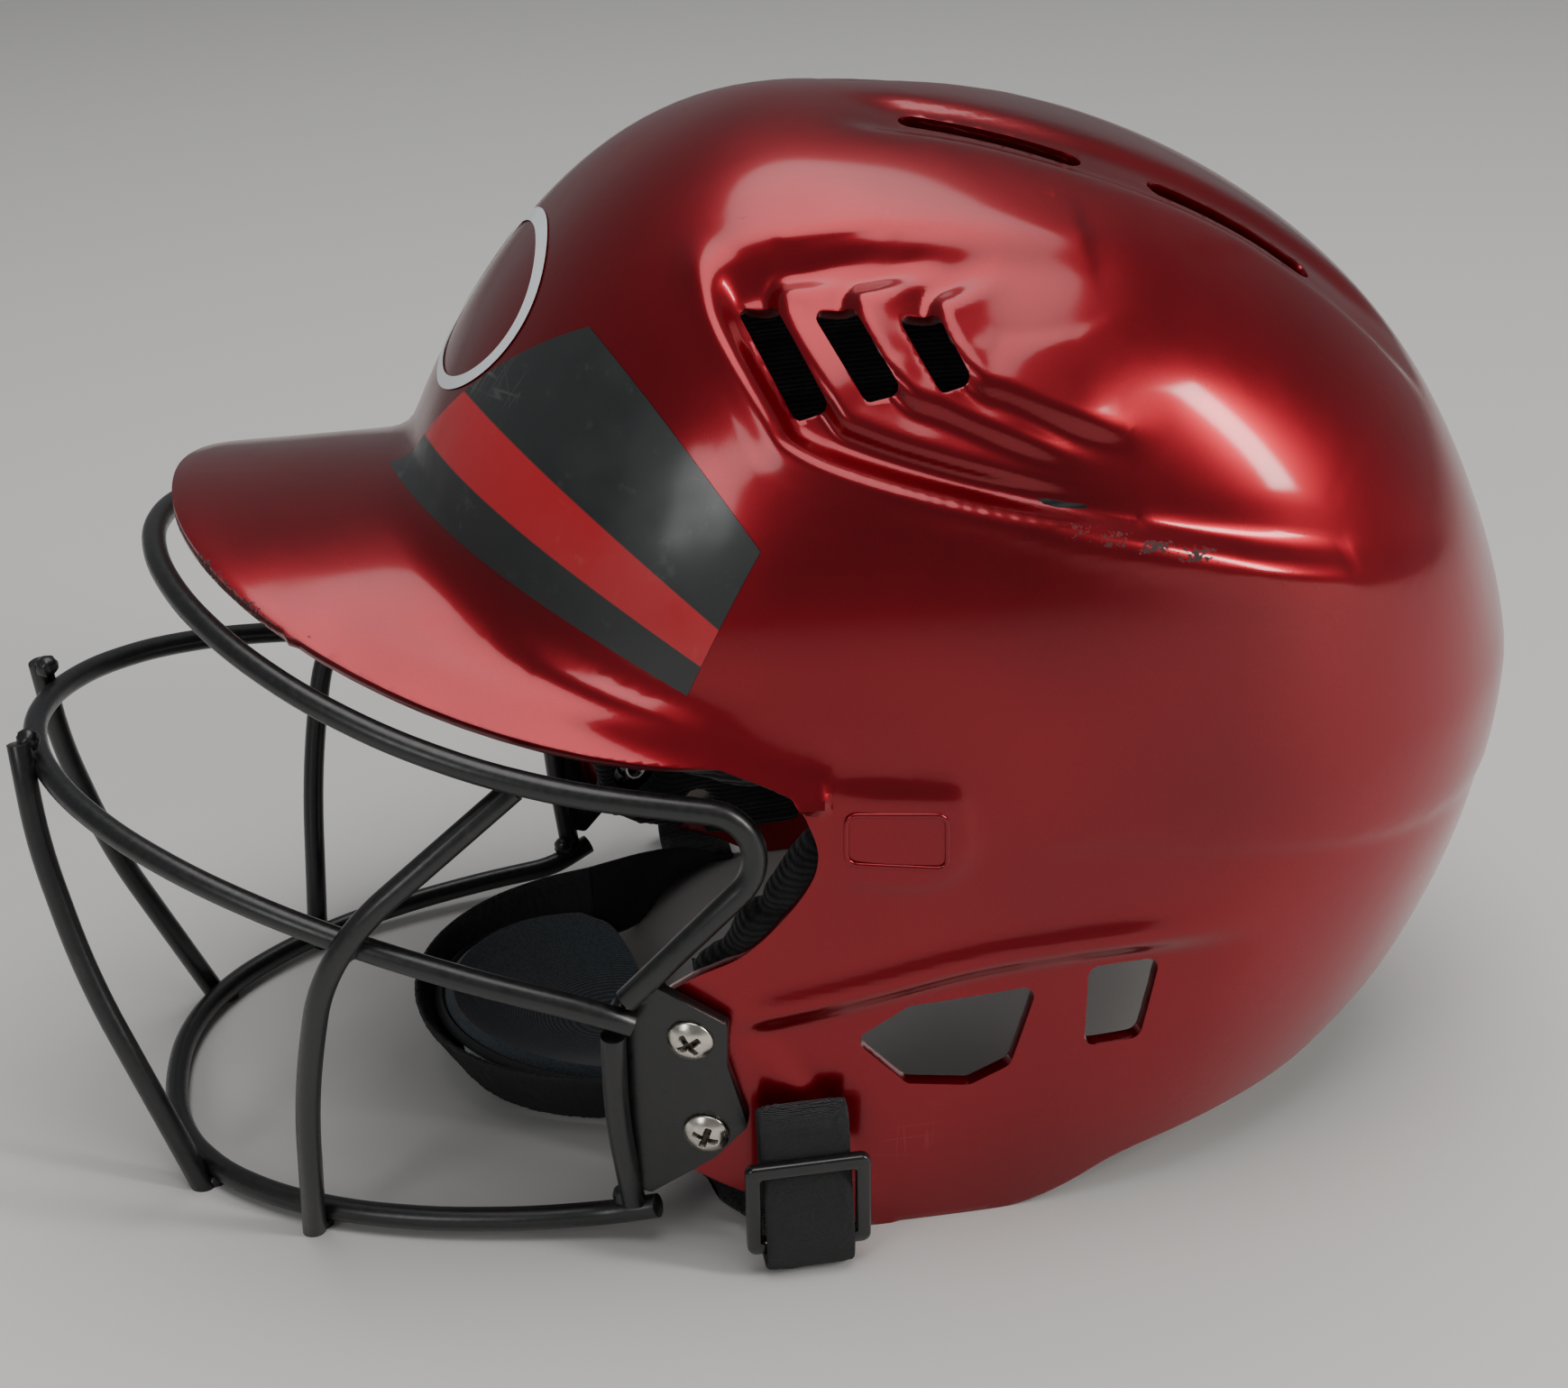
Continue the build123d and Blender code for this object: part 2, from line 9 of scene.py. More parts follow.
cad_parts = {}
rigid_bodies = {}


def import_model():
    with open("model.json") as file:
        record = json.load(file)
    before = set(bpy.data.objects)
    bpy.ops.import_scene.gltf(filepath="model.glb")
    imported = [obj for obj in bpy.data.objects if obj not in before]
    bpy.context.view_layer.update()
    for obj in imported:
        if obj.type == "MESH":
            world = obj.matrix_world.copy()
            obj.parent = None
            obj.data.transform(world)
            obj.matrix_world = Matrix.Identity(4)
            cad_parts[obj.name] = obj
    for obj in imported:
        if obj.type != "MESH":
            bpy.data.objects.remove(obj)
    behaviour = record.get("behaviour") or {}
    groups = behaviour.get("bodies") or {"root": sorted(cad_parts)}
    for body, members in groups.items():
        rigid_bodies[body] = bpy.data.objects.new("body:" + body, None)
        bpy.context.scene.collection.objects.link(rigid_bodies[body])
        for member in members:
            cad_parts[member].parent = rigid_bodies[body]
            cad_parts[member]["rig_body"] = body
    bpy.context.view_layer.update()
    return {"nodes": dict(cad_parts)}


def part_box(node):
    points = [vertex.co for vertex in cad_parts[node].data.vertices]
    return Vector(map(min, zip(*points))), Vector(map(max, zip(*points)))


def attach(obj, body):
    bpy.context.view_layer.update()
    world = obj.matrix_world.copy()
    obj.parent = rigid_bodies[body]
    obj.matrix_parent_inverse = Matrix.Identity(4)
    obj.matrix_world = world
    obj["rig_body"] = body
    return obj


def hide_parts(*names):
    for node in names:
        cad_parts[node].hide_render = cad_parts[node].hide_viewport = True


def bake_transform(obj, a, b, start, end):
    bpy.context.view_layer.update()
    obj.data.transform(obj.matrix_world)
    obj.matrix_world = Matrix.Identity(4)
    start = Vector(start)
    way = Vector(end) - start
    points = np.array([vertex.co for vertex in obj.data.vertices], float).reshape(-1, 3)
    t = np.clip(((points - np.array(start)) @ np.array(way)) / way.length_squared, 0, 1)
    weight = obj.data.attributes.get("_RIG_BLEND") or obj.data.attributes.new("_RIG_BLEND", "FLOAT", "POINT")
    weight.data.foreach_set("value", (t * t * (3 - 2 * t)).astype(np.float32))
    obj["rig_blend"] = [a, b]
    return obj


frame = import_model()
nodes = frame["nodes"]
mm = 0.001
link = bpy.context.scene.collection.objects.link


def newGroup(name, result, **inputs):
    group = bpy.data.node_groups.new(name, "ShaderNodeTree")
    for label, value in inputs.items():
        socket = group.interface.new_socket(name=label, in_out="INPUT", socket_type="NodeSocketFloat")
        socket.default_value = value
    group.interface.new_socket(name=result, in_out="OUTPUT", socket_type="NodeSocketFloat")
    return group, group.nodes.new("NodeGroupInput"), group.nodes.new("NodeGroupOutput")


# Short ways to add nodes and links to one node tree.
class Tree:
    def __init__(self, tree):
        self.tree = tree

    def add(self, kind, inputs=None, **settings):
        node = self.tree.nodes.new(kind)
        for key, value in settings.items():
            setattr(node, key, value)
        for key, value in (inputs or {}).items():
            if isinstance(value, bpy.types.NodeSocket):
                self.tree.links.new(value, node.inputs[key])
            else:
                node.inputs[key].default_value = value
        return node

    def math(self, operation, a, b=0.0):
        return self.add("ShaderNodeMath", {0: a, 1: b}, operation=operation).outputs[0]

    def mapRange(self, value, low, high, toLow=0.0, toHigh=1.0):
        inputs = {"Value": value, "From Min": low, "From Max": high, "To Min": toLow, "To Max": toHigh}
        return self.add("ShaderNodeMapRange", inputs).outputs["Result"]

    def mix(self, share, a, b):
        return self.add("ShaderNodeMix", {0: share, 6: a, 7: b}, data_type="RGBA").outputs[2]

    def noise(self, vector, scale, detail=3.0, roughness=0.5):
        inputs = {"Vector": vector, "Scale": scale, "Detail": detail, "Roughness": roughness}
        return self.add("ShaderNodeTexNoise", inputs).outputs["Fac"]

    def objectPlace(self):
        return self.add("ShaderNodeTexCoord").outputs["Object"]

    def stretched(self, vector, scale, turn=(0, 0, 0)):
        return self.add("ShaderNodeMapping", {"Vector": vector, "Scale": scale, "Rotation": turn}).outputs[0]

    def bump(self, height, strength, distance):
        inputs = {"Height": height, "Strength": strength, "Distance": distance}
        return self.add("ShaderNodeBump", inputs).outputs["Normal"]

    def group(self, group, **values):
        return self.add("ShaderNodeGroup", values, node_tree=group).outputs[0]

    def feed(self, shader, **values):
        for key, value in values.items():
            self.tree.links.new(value, shader.inputs[key.replace("_", " ")])


def makeScratches():
    # Fine hairline scratches: thin crests of stretched noise, where a coarse noise lets them show.
    group, start, end = newGroup("scratches", "Mask", Size=60.0, Amount=0.5)
    t = Tree(group)
    place = t.objectPlace()
    total = None
    ways = (((0.3, 0.9, 0.4), (1, 14, 1)), ((1.1, 0.2, 1.3), (12, 1, 1)), ((0.5, 1.4, 2.2), (1, 1, 11)))
    for turn, squeeze in ways:
        lines = t.noise(t.stretched(place, squeeze, turn), start.outputs["Size"], 2.0)
        crest = t.math("ABSOLUTE", t.math("SUBTRACT", lines, 0.5))
        thin = t.mapRange(crest, 0.0, 0.012, 1.0, 0.0)
        total = thin if total is None else t.math("MAXIMUM", total, thin)
    patches = t.noise(place, 18.0, 2.0)
    low = t.math("SUBTRACT", 0.78, t.math("MULTIPLY", start.outputs["Amount"], 0.4))
    shown = t.mapRange(patches, low, t.math("ADD", low, 0.06))
    group.links.new(t.math("MULTIPLY", total, shown), end.inputs["Mask"])
    return group


def makeChips():
    # Ragged chips where the Worn input is high.
    group, start, end = newGroup("chips", "Mask", Worn=0.0, Size=500.0)
    t = Tree(group)
    place = t.objectPlace()
    grain = t.noise(place, start.outputs["Size"], 6.0, 0.65)
    drift = t.noise(place, 40.0, 2.0)
    value = t.math("ADD", t.math("MULTIPLY", grain, 0.65), t.math("MULTIPLY", drift, 0.5))
    edge = t.math("SUBTRACT", 1.0, t.math("MULTIPLY", start.outputs["Worn"], 0.45))
    mask = t.mapRange(value, edge, t.math("ADD", edge, 0.03))
    group.links.new(mask, end.inputs["Mask"])
    return group


def makeDust():
    group, start, end = newGroup("dust", "Mask", Size=90.0, Amount=0.5)
    t = Tree(group)
    specks = t.noise(t.objectPlace(), start.outputs["Size"], 8.0, 0.7)
    low = t.math("SUBTRACT", 0.75, t.math("MULTIPLY", start.outputs["Amount"], 0.3))
    group.links.new(t.mapRange(specks, low, t.math("ADD", low, 0.2)), end.inputs["Mask"])
    return group


def makeKnit():
    # Knitted ribs: a fine rib across a slower stitch, as a height.
    group, start, end = newGroup("knit", "Height", Size=900.0)
    t = Tree(group)
    place, size = t.objectPlace(), start.outputs["Size"]
    wave = {"Vector": place, "Scale": size, "Distortion": 1.5, "Detail": 2.0, "Detail Scale": 3.0}
    ribs = t.add("ShaderNodeTexWave", wave, bands_direction="Z").outputs["Fac"]
    stitch = t.add("ShaderNodeTexVoronoi", {"Vector": place, "Scale": size}).outputs["Distance"]
    height = t.math("SUBTRACT", t.math("MULTIPLY", ribs, 0.6), t.math("MULTIPLY", stitch, 0.5))
    group.links.new(height, end.inputs["Height"])
    return group


scratches, chips, dust, knit = makeScratches(), makeChips(), makeDust(), makeKnit()


def newMaterial(name, **sockets):
    material = bpy.data.materials.new(name)
    material.use_nodes = True
    t = Tree(material.node_tree)
    shader = material.node_tree.nodes["Principled BSDF"]
    for key, value in sockets.items():
        shader.inputs[key.replace("_", " ")].default_value = value
    return material, t, shader


redFinish = {"deep": (0.17, 0.0002, 0.005, 1), "bright": (0.34, 0.0006, 0.011, 1),
             "bare": (0.035, 0.018, 0.018, 1), "scratch": (0.75, 0.3, 0.3, 1), "dust": (0.6, 0.45, 0.42, 1),
             "metal": 0.8, "coat": 0.6}


def makeRedShell():
    # Candy paint: a red metal ground under a clear coat, bare plastic where it is chipped.
    material, t, shader = newMaterial("candyRed", Coat_Roughness=0.1)
    place = t.objectPlace()
    flow = t.noise(place, 9.0, 2.0)
    flake = t.noise(place, 2600.0, 1.0)
    colour = t.mix(t.mapRange(flow, 0.3, 0.7), redFinish["deep"], redFinish["bright"])
    colour = t.mix(t.mapRange(flake, 0.45, 0.75, 0.0, 0.25), colour, redFinish["bright"])
    worn = t.add("ShaderNodeAttribute", attribute_name="worn").outputs["Fac"]
    chipped = t.group(chips, Worn=worn, Size=900.0)
    scratched = t.group(scratches, Size=9.0, Amount=0.14)
    dusty = t.group(dust, Size=140.0, Amount=0.08)
    colour = t.mix(t.math("MULTIPLY", scratched, 0.15), colour, redFinish["scratch"])
    colour = t.mix(t.math("MULTIPLY", dusty, 0.3), colour, redFinish["dust"])
    colour = t.mix(chipped, colour, redFinish["bare"])
    rough = t.mapRange(t.noise(place, 30.0, 4.0), 0.3, 0.7, 0.24, 0.36)
    rough = t.math("MAXIMUM", rough, t.math("MULTIPLY", chipped, 0.8))
    metal = t.math("MULTIPLY", t.math("SUBTRACT", 1.0, chipped), redFinish["metal"])
    dulled = t.math("MAXIMUM", chipped, t.math("MULTIPLY", scratched, 0.5))
    coat = t.math("MULTIPLY", t.math("SUBTRACT", 1.0, dulled), redFinish["coat"])
    height = t.math("SUBTRACT", t.math("MULTIPLY", t.noise(place, 22.0, 2.0), 0.35), chipped)
    t.feed(shader, Base_Color=colour, Roughness=rough, Metallic=metal, Coat_Weight=coat,
           Normal=t.bump(height, 0.35, 0.0004))
    return material


def makeBlackCoat(name, base, rough, grain):
    material, t, shader = newMaterial(name, Specular_IOR_Level=0.5, Coat_Weight=0.25, Coat_Roughness=0.25)
    place = t.objectPlace()
    fine = t.noise(place, grain, 3.0)
    rubbed = t.mapRange(t.noise(place, 60.0, 6.0, 0.7), 0.62, 0.72)
    light = tuple(1.7 * c for c in base[:3]) + (1,)
    colour = t.mix(t.mapRange(fine, 0.3, 0.7), base, light)
    colour = t.mix(t.math("MULTIPLY", rubbed, 0.3), colour, (0.06, 0.06, 0.063, 1))
    t.feed(shader, Base_Color=colour, Roughness=t.mapRange(fine, 0.2, 0.8, rough - 0.06, rough + 0.1),
           Normal=t.bump(fine, 0.18, 0.0002))
    return material


def makeNickel(name, base, tarnish):
    # Bright plating with tarnish spots, and painted shade with some grime darkening a screw's cross.
    material, t, shader = newMaterial(name, Metallic=1.0)
    place = t.objectPlace()
    spots = t.mapRange(t.noise(place, 420.0, 6.0, 0.7), 0.5, 0.68)
    colour = t.mix(t.math("MULTIPLY", spots, 0.3), base, tarnish)
    # This attribute holds the shell's wear, and on the screws painted shade with some grime that darkens the
    # cross.
    recessShadeAndGrime = t.add("ShaderNodeAttribute", attribute_name="worn").outputs["Fac"]
    colour = t.mix(t.math("MULTIPLY", recessShadeAndGrime, 0.93), colour, (0.02, 0.018, 0.016, 1))
    t.feed(shader, Base_Color=colour, Roughness=t.mapRange(spots, 0.0, 1.0, 0.22, 0.4),
           Normal=t.bump(t.noise(place, 900.0, 4.0), 0.1, 0.0001))
    return material


def makeFabric(name, base, size, depth, sheen):
    material, t, shader = newMaterial(name, Sheen_Weight=sheen, Sheen_Roughness=0.5, Specular_IOR_Level=0.25)
    place = t.objectPlace()
    height = t.group(knit, Size=size)
    lint = t.mapRange(t.noise(place, 700.0, 6.0, 0.75), 0.63, 0.75)
    # The knit's height also sets its colour: painted shade in the grooves and painted highlight on the raised
    # ribs.
    light = tuple(3.0 * c for c in base[:3]) + (1,)
    colour = t.mix(t.mapRange(height, -0.2, 0.5), base, light)
    colour = t.mix(t.math("MULTIPLY", lint, 0.25), colour, (0.08, 0.08, 0.08, 1))
    t.feed(shader, Base_Color=colour, Roughness=t.mapRange(t.noise(place, 120.0), 0.3, 0.7, 0.78, 0.96),
           Normal=t.bump(height, depth, 0.0006))
    return material


red = makeRedShell()
guardBlack = makeBlackCoat("guardBlack", (0.007, 0.007, 0.0075, 1), 0.34, 700.0)
plateBlack = makeBlackCoat("plateBlack", (0.005, 0.005, 0.0055, 1), 0.3, 500.0)
slideBlack = makeBlackCoat("slideBlack", (0.007, 0.007, 0.0075, 1), 0.2, 260.0)
cupBlack = makeBlackCoat("cupBlack", (0.02, 0.021, 0.023, 1), 0.5, 900.0)
nickel = makeNickel("nickel", (0.66, 0.62, 0.55, 1), (0.22, 0.17, 0.11, 1))
zinc = makeNickel("zinc", (0.5, 0.5, 0.5, 1), (0.3, 0.3, 0.28, 1))
padKnit = makeFabric("padKnit", (0.007, 0.007, 0.008, 1), 230.0, 0.9, 0.12)
webbing = makeFabric("webbing", (0.006, 0.006, 0.007, 1), 1500.0, 1.0, 0.15)
liningCloth = makeFabric("liningCloth", (0.045, 0.055, 0.062, 1), 1500.0, 0.2, 0.25)
print("materials made")

# The first of these that a CAD piece's name starts with gives its finish.
cadFinishes = (
    ("shell", red), ("guard_plate", plateBlack), ("guard_screws", nickel), ("guard_nuts", zinc),
    ("guard_", guardBlack), ("strap_slide", slideBlack), ("strap_rivet", nickel), ("strap_tongue", webbing),
    ("chin_strap", webbing), ("chin_cup_liner", liningCloth), ("chin_cup", cupBlack), ("", padKnit),
)
for name, piece in nodes.items():
    finish = next(material for start, material in cadFinishes if name.startswith(start))
    piece.data.materials.clear()
    piece.data.materials.append(finish)
print("CAD pieces finished")

# Places and sizes below are in millimetres, in the frame's own axes.
shell = {
    "centre": (0.0, 20.0, 70.0),  # every ray from here meets the shell once
    "wall": 3.0,
    "cells": 58,
    "evenings": 3,
    "height": 226.6,
    "jawTop": 100.0,
    "backY": 168.0, "frontY": -87.8, "topY": 9.0, "halfWidth": 102.9,
    # How each line of the dome rises, how round it is, and how far it sways.
    "backLine": (1.782, 2.082, 1.94), "frontLine": (1.783, 1.895, 0.675), "sideLine": (3.003, 1.806, 0.1),
    # How far each line draws in from the jaw's top to the rim, and how steeply.
    "backTuck": (43.5, 1.9), "frontTuck": (-4.0, 2.0), "sideTuck": (14.0, 2.0),
    "middle": (0.516, 0.09),  # the widest place between front and back, and how far it moves up the dome
    "squareness": 2.3, "jawSquareness": 0.5, "squareFrom": (130.0, 60.0),
}
bill = {"radius": 150.0, "top": 152.2, "tip": -127.0, "root": -5.5, "half": 98.0, "power": 2.2,
        "drop": 3.5, "dropRun": (-34.0, -8.0), "reach": 101.5, "back": -2.0, "overlap": 14.0, "blend": 9.0,
        "freeHalf": 62.0}
flapFront = [(-6.5, 105.0), (-4.5, 97.0), (-7.8, 88.0), (-19.0, 75.3), (-30.4, 69.0), (-40.0, 60.0),
             (-40.5, 46.0), (-40.0, 30.0), (-33.0, 20.0), (-20.0, 12.0), (-6.0, 6.0), (4.0, 0.6), (9.0, 0.0)]
rearRim = [(30.0, 0.0), (38.0, 0.4), (48.0, 3.8), (61.0, 10.4), (82.0, 15.8), (102.0, 20.6), (118.0, 28.7),
           (140.0, 37.0), (200.0, 42.0)]
earHoles = {"corner": 3.0, "outlines": [
    [(-0.8, 52.0), (11.2, 59.5), (42.5, 61.5), (36.5, 41.0), (27.0, 36.5), (11.0, 39.0)],
    [(51.4, 63.6), (65.4, 63.8), (61.5, 43.2), (50.8, 43.2)],
]}
sideSlits = {"corner": 1.6, "outlines": [
    [(-10.8, 200.4), (-5.0, 200.5), (2.9, 183.0), (-2.3, 181.3)],
    [(3.9, 198.8), (9.8, 198.9), (16.8, 185.4), (11.5, 184.2)],
    [(20.2, 197.0), (25.7, 196.7), (30.3, 186.1), (25.8, 184.9)],
]}
crownSlots = {"half": 3.25, "lines": [((19.0, 34.0), (29.0, 64.0)), ((32.0, 84.0), (36.0, 112.0))]}


def smoothCurve(points, steps=6):
    # A Catmull-Rom curve through the points.
    p = np.array([points[0]] + list(points) + [points[-1]], float)
    out = []
    for k in range(1, len(p) - 2):
        for s in np.arange(steps) / steps:
            out.append(0.5 * (2 * p[k] + (p[k + 1] - p[k - 1]) * s
                       + (2 * p[k - 1] - 5 * p[k] + 4 * p[k + 1] - p[k + 2]) * s**2
                       + (3 * p[k] - p[k - 1] - 3 * p[k + 1] + p[k + 2]) * s**3))
    out.append(p[-1])
    return np.array(out)


def lineDistance(u, v, points):
    # Distance to a polyline, which side of it, and how far along it the nearest place lies.
    points = np.asarray(points, float)
    best = np.full(u.shape, 1e9)
    side = np.zeros(u.shape)
    along = np.zeros(u.shape)
    lengths = np.hypot(*(points[1:] - points[:-1]).T)
    run = 0.0
    for (a, b), length in zip(zip(points, points[1:]), lengths):
        du, dv = b - a
        share = np.clip(((u - a[0]) * du + (v - a[1]) * dv) / length**2, 0, 1)
        gap = np.hypot(u - a[0] - share * du, v - a[1] - share * dv)
        near = gap < best
        cross = du * (v - a[1]) - dv * (u - a[0])
        best = np.where(near, gap, best)
        side = np.where(near, np.sign(cross), side)
        along = np.where(near, (run + share * length) / lengths.sum(), along)
        run += length
    return best, side, along


def outlineDistance(u, v, points):
    # Signed distance to a closed outline, negative inside it.
    closed = np.vstack([points, points[:1]])
    gap, _, _ = lineDistance(u, v, closed)
    inside = np.zeros(u.shape, bool)
    for (u0, v0), (u1, v1) in zip(closed, closed[1:]):
        if v0 != v1:
            crosses = ((v0 > v) != (v1 > v)) & (u < (u1 - u0) * (v - v0) / (v1 - v0) + u0)
            inside ^= crosses
    return np.where(inside, -gap, gap)


def step(value, low, high):
    s = np.clip((value - low) / (high - low), 0, 1)
    return s * s * (3 - 2 * s)


def domeLine(u, t, line, tuck):
    # A line of the dome: how much of its full reach is left, and how far it draws in.
    power, roundness, sway = shell[line]
    depth, steep = shell[tuck]
    return (1 - u**power) ** (1 / roundness), sway * np.sin(2 * pi * u) + depth * t**steep


def domeField(x, y, z):
    # Negative inside the dome, positive outside it.
    u = np.clip((z - shell["jawTop"]) / (shell["height"] - shell["jawTop"]), 0, 1)
    t = np.clip((shell["jawTop"] - z) / shell["jawTop"], 0, 1.2)
    top = shell["topY"]
    share, drawn = domeLine(u, t, "backLine", "backTuck")
    back = top + (shell["backY"] - top) * share - drawn
    share, drawn = domeLine(u, t, "frontLine", "frontTuck")
    front = top - (top - shell["frontY"]) * share - drawn
    share, drawn = domeLine(u, t, "sideLine", "sideTuck")
    half = shell["halfWidth"] * share - drawn
    widest, moves = shell["middle"]
    middle = front + (back - front) * (widest - moves * u**3)
    reach = np.where(y > middle, back - middle, middle - front)
    start, run = shell["squareFrom"]
    square = shell["squareness"] + shell["jawSquareness"] * np.clip((start - z) / run, 0, 1)
    power = np.where(y > middle, shell["squareness"], square)
    across = (np.abs(x) / np.maximum(half, 1e-3)) ** power
    field = across + (np.abs(y - middle) / np.maximum(reach, 1e-3)) ** power - 1
    return np.where(z > shell["height"], 1.0, field)


def billEdgeY(x):
    share = np.clip(np.abs(x) / bill["half"], 0, 1)
    return bill["root"] - (bill["root"] - bill["tip"]) * (1 - share ** bill["power"]) ** 0.5


def billEdgeLine():
    # The bill's edge seen from the side, from its tip back to the flap.
    xs = bill["half"] * np.sin(np.linspace(0, pi / 2, 24))
    axis = bill["top"] - bill["radius"]
    return [(y, axis + (bill["radius"] ** 2 - x**2) ** 0.5) for x, y in zip(xs, billEdgeY(xs))]


sideOutline = np.array(
    [(-400.0, bill["top"])] + [p for p in billEdgeLine() if p[0] < -20] + [(-14.0, 112.8), (-9.5, 110.6)]
    + [tuple(p) for p in smoothCurve(flapFront, 5)]
    + [tuple(p) for p in smoothCurve(rearRim, 5)]
    + [(300.0, 42.0), (300.0, -300.0), (-400.0, -300.0)]
)


def domeReach(origins, ways):
    # How far from each origin the dome's surface lies along its way.
    low, high = np.zeros(len(ways)), np.full(len(ways), 300.0)
    for _ in range(36):
        mid = (low + high) / 2
        outside = domeField(*(origins + ways * mid[:, None]).T) > 0
        high, low = np.where(outside, mid, high), np.where(outside, low, mid)
    return (low + high) / 2


def shellRay(direction):
    # Where rays from the centre leave the shell, and whether they leave it through the bill.
    cx, cy, cz = shell["centre"]
    dx, dy, dz = direction.T
    dome = domeReach(np.array(shell["centre"]), direction)
    # The bill is an arch about a level axis, a little lower where it runs into the dome.
    axis = bill["top"] - bill["radius"]
    a = dx**2 + dz**2
    b = 2 * dz * (cz - axis)
    radius = bill["radius"] - bill["drop"] * step(cy + dome * dy, *bill["dropRun"])
    c = (cz - axis) ** 2 - radius**2
    arch = (-b + np.sqrt(b**2 - 4 * a * c)) / (2 * a + 1e-9)
    archX, archY = cx + arch * dx, cy + arch * dy
    onBill = (archY < bill["back"]) & (np.abs(archX) < bill["reach"]) & (dz > 0)
    onBill &= archY > billEdgeY(archX) - bill["overlap"]
    near = np.maximum(bill["blend"] - np.abs(dome - arch), 0)
    both = np.maximum(dome, arch) + near**2 / (4 * bill["blend"])
    return np.where(onBill, both, dome), onBill & (arch > dome)


def cutDistance(x, y, z, onBill):
    # How far a place lies outside the shell's edge, or inside a hole, in millimetres.
    side = -outlineDistance(y, z, sideOutline)
    side = np.where(onBill & (np.abs(x) < bill["freeHalf"]), billEdgeY(x) - y, side)
    for holes in (earHoles, sideSlits):
        corner = holes["corner"]
        for outline in holes["outlines"]:
            middle = np.mean(outline, axis=0)
            shrunk = middle + (np.array(outline) - middle) * (1 - corner / 11)
            hole = outlineDistance(y, z, shrunk) - corner * 0.8
            side = np.maximum(side, np.where(np.abs(x) > 25, -hole, -50))
    for ends in crownSlots["lines"]:
        slot = lineDistance(np.abs(x), y, ends)[0] - crownSlots["half"]
        side = np.maximum(side, np.where(z > 150, -slot, -50))
    return side


# Moulded lines on the left side, as places (y, z), and on the crown, as places (x, y).
scoopUpper = smoothCurve([(-16.0, 203.0), (-9.0, 207.0), (4.0, 209.0), (22.8, 209.5), (49.5, 207.0),
                          (78.0, 201.0)])
scoopLower = smoothCurve([(-16.0, 203.0), (-14.3, 194.4), (-8.0, 181.5), (-3.8, 175.5), (15.4, 168.0),
                          (66.8, 152.8), (105.0, 141.0), (131.5, 133.8), (150.0, 131.0)])
# Each chevron: the end of its upper arm, its slit's top and foot, then its lower arm.
chevrons = [
    [(28.0, 206.5), (6.0, 204.0), (-4.0, 201.0), (4.0, 182.5), (9.0, 178.5), (32.0, 170.5), (60.0, 162.5)],
    [(34.0, 205.0), (18.0, 202.5), (10.6, 199.5), (17.6, 185.2), (25.9, 181.0), (44.0, 172.5), (58.0, 168.0)],
    [(44.0, 203.0), (32.0, 200.5), (26.4, 197.4), (31.4, 186.0), (38.8, 182.5), (54.0, 175.5), (68.0, 171.0)],
]
earRidge = smoothCurve([(-24.0, 55.0), (-19.6, 59.4), (4.0, 65.0), (29.6, 69.8), (60.0, 70.5), (90.8, 68.2)])
rearCrease = smoothCurve([(34.0, 92.0), (47.7, 93.9), (86.3, 87.0), (123.1, 80.0), (168.0, 76.0)])
bossOutline = np.array([(-14.0, 92.5), (-6.0, 92.0), (14.0, 88.6), (20.0, 89.4), (24.1, 92.7), (25.6, 98.0),
                        (25.1, 104.5), (22.6, 109.0), (0.0, 111.5), (-14.0, 113.0)])
channelLine = smoothCurve([(15.0, 16.0), (22.0, 42.0), (29.0, 66.0), (34.0, 98.0), (36.0, 124.0),
                           (35.0, 142.0)])


# Heights and depths of the moulded detail; a pair also gives how wide it is or how far it reaches.
detail = {
    "lowerScoop": (4.4, 26.0), "upperScoop": (2.2, 7.0), "lowerCrest": (1.0, 4.2), "upperCrest": (0.5, 4.4),
    "bladeRise": (1.6, 6.5), "bladeSink": (1.5, 4.5), "bladeEdge": 1.8,
    "flapSink": (3.2, 34.0), "flapCrest": (1.5, 3.6), "flapGroove": (1.3, 14.0),
    "boss": 1.5, "rearStep": (0.8, 16.0), "channel": 2.4, "channelWalls": (6.0, 10.5),
    "beadPlace": 5.5, "bead": (0.55, 1.5), "beadGroovePlace": 8.5, "beadGroove": (0.35, 1.6),
}


def crest(gap, size):
    height, width = size
    return height * np.exp(-(gap / width) ** 2)


def fading(gap, size):
    height, reach = size
    return height * np.exp(-gap / reach)


def scoopRelief(y, z):
    # The scoop is deepest along its lower edge and towards its front, and holds three bent blades.
    lowGap, lowSide, lowAlong = lineDistance(y, z, scoopLower)
    upGap, upSide, _ = lineDistance(y, z, scoopUpper)
    inScoop = (lowSide > 0) & (upSide < 0) & (y < 150) & (y > -17)
    fadeBack = 1 - step(lowAlong, 0.55, 0.98)
    depth = fading(lowGap, detail["lowerScoop"]) * fadeBack
    depth += fading(upGap, detail["upperScoop"]) * (1 - step(y, 20, 70))
    lift = -depth * inScoop * step(lowGap, 0.0, 4.4) * step(upGap, 0.0, 6.0)
    lift += (crest(lowGap, detail["lowerCrest"]) + crest(upGap, detail["upperCrest"]) * (y < 60)) * fadeBack
    edge = detail["bladeEdge"]
    for line in chevrons:
        gap, side, along = lineDistance(y, z, smoothCurve(line, 5))
        shape = step(along, 0.02, 0.25) * (1 - step(along, 0.72, 1.0)) * inScoop
        signed = gap * side
        rise = fading(np.abs(signed - edge), detail["bladeRise"])
        sink = -fading(np.abs(signed + edge), detail["bladeSink"])
        lift += shape * (sink + (rise - sink) * step(signed, -edge, edge))
    return lift


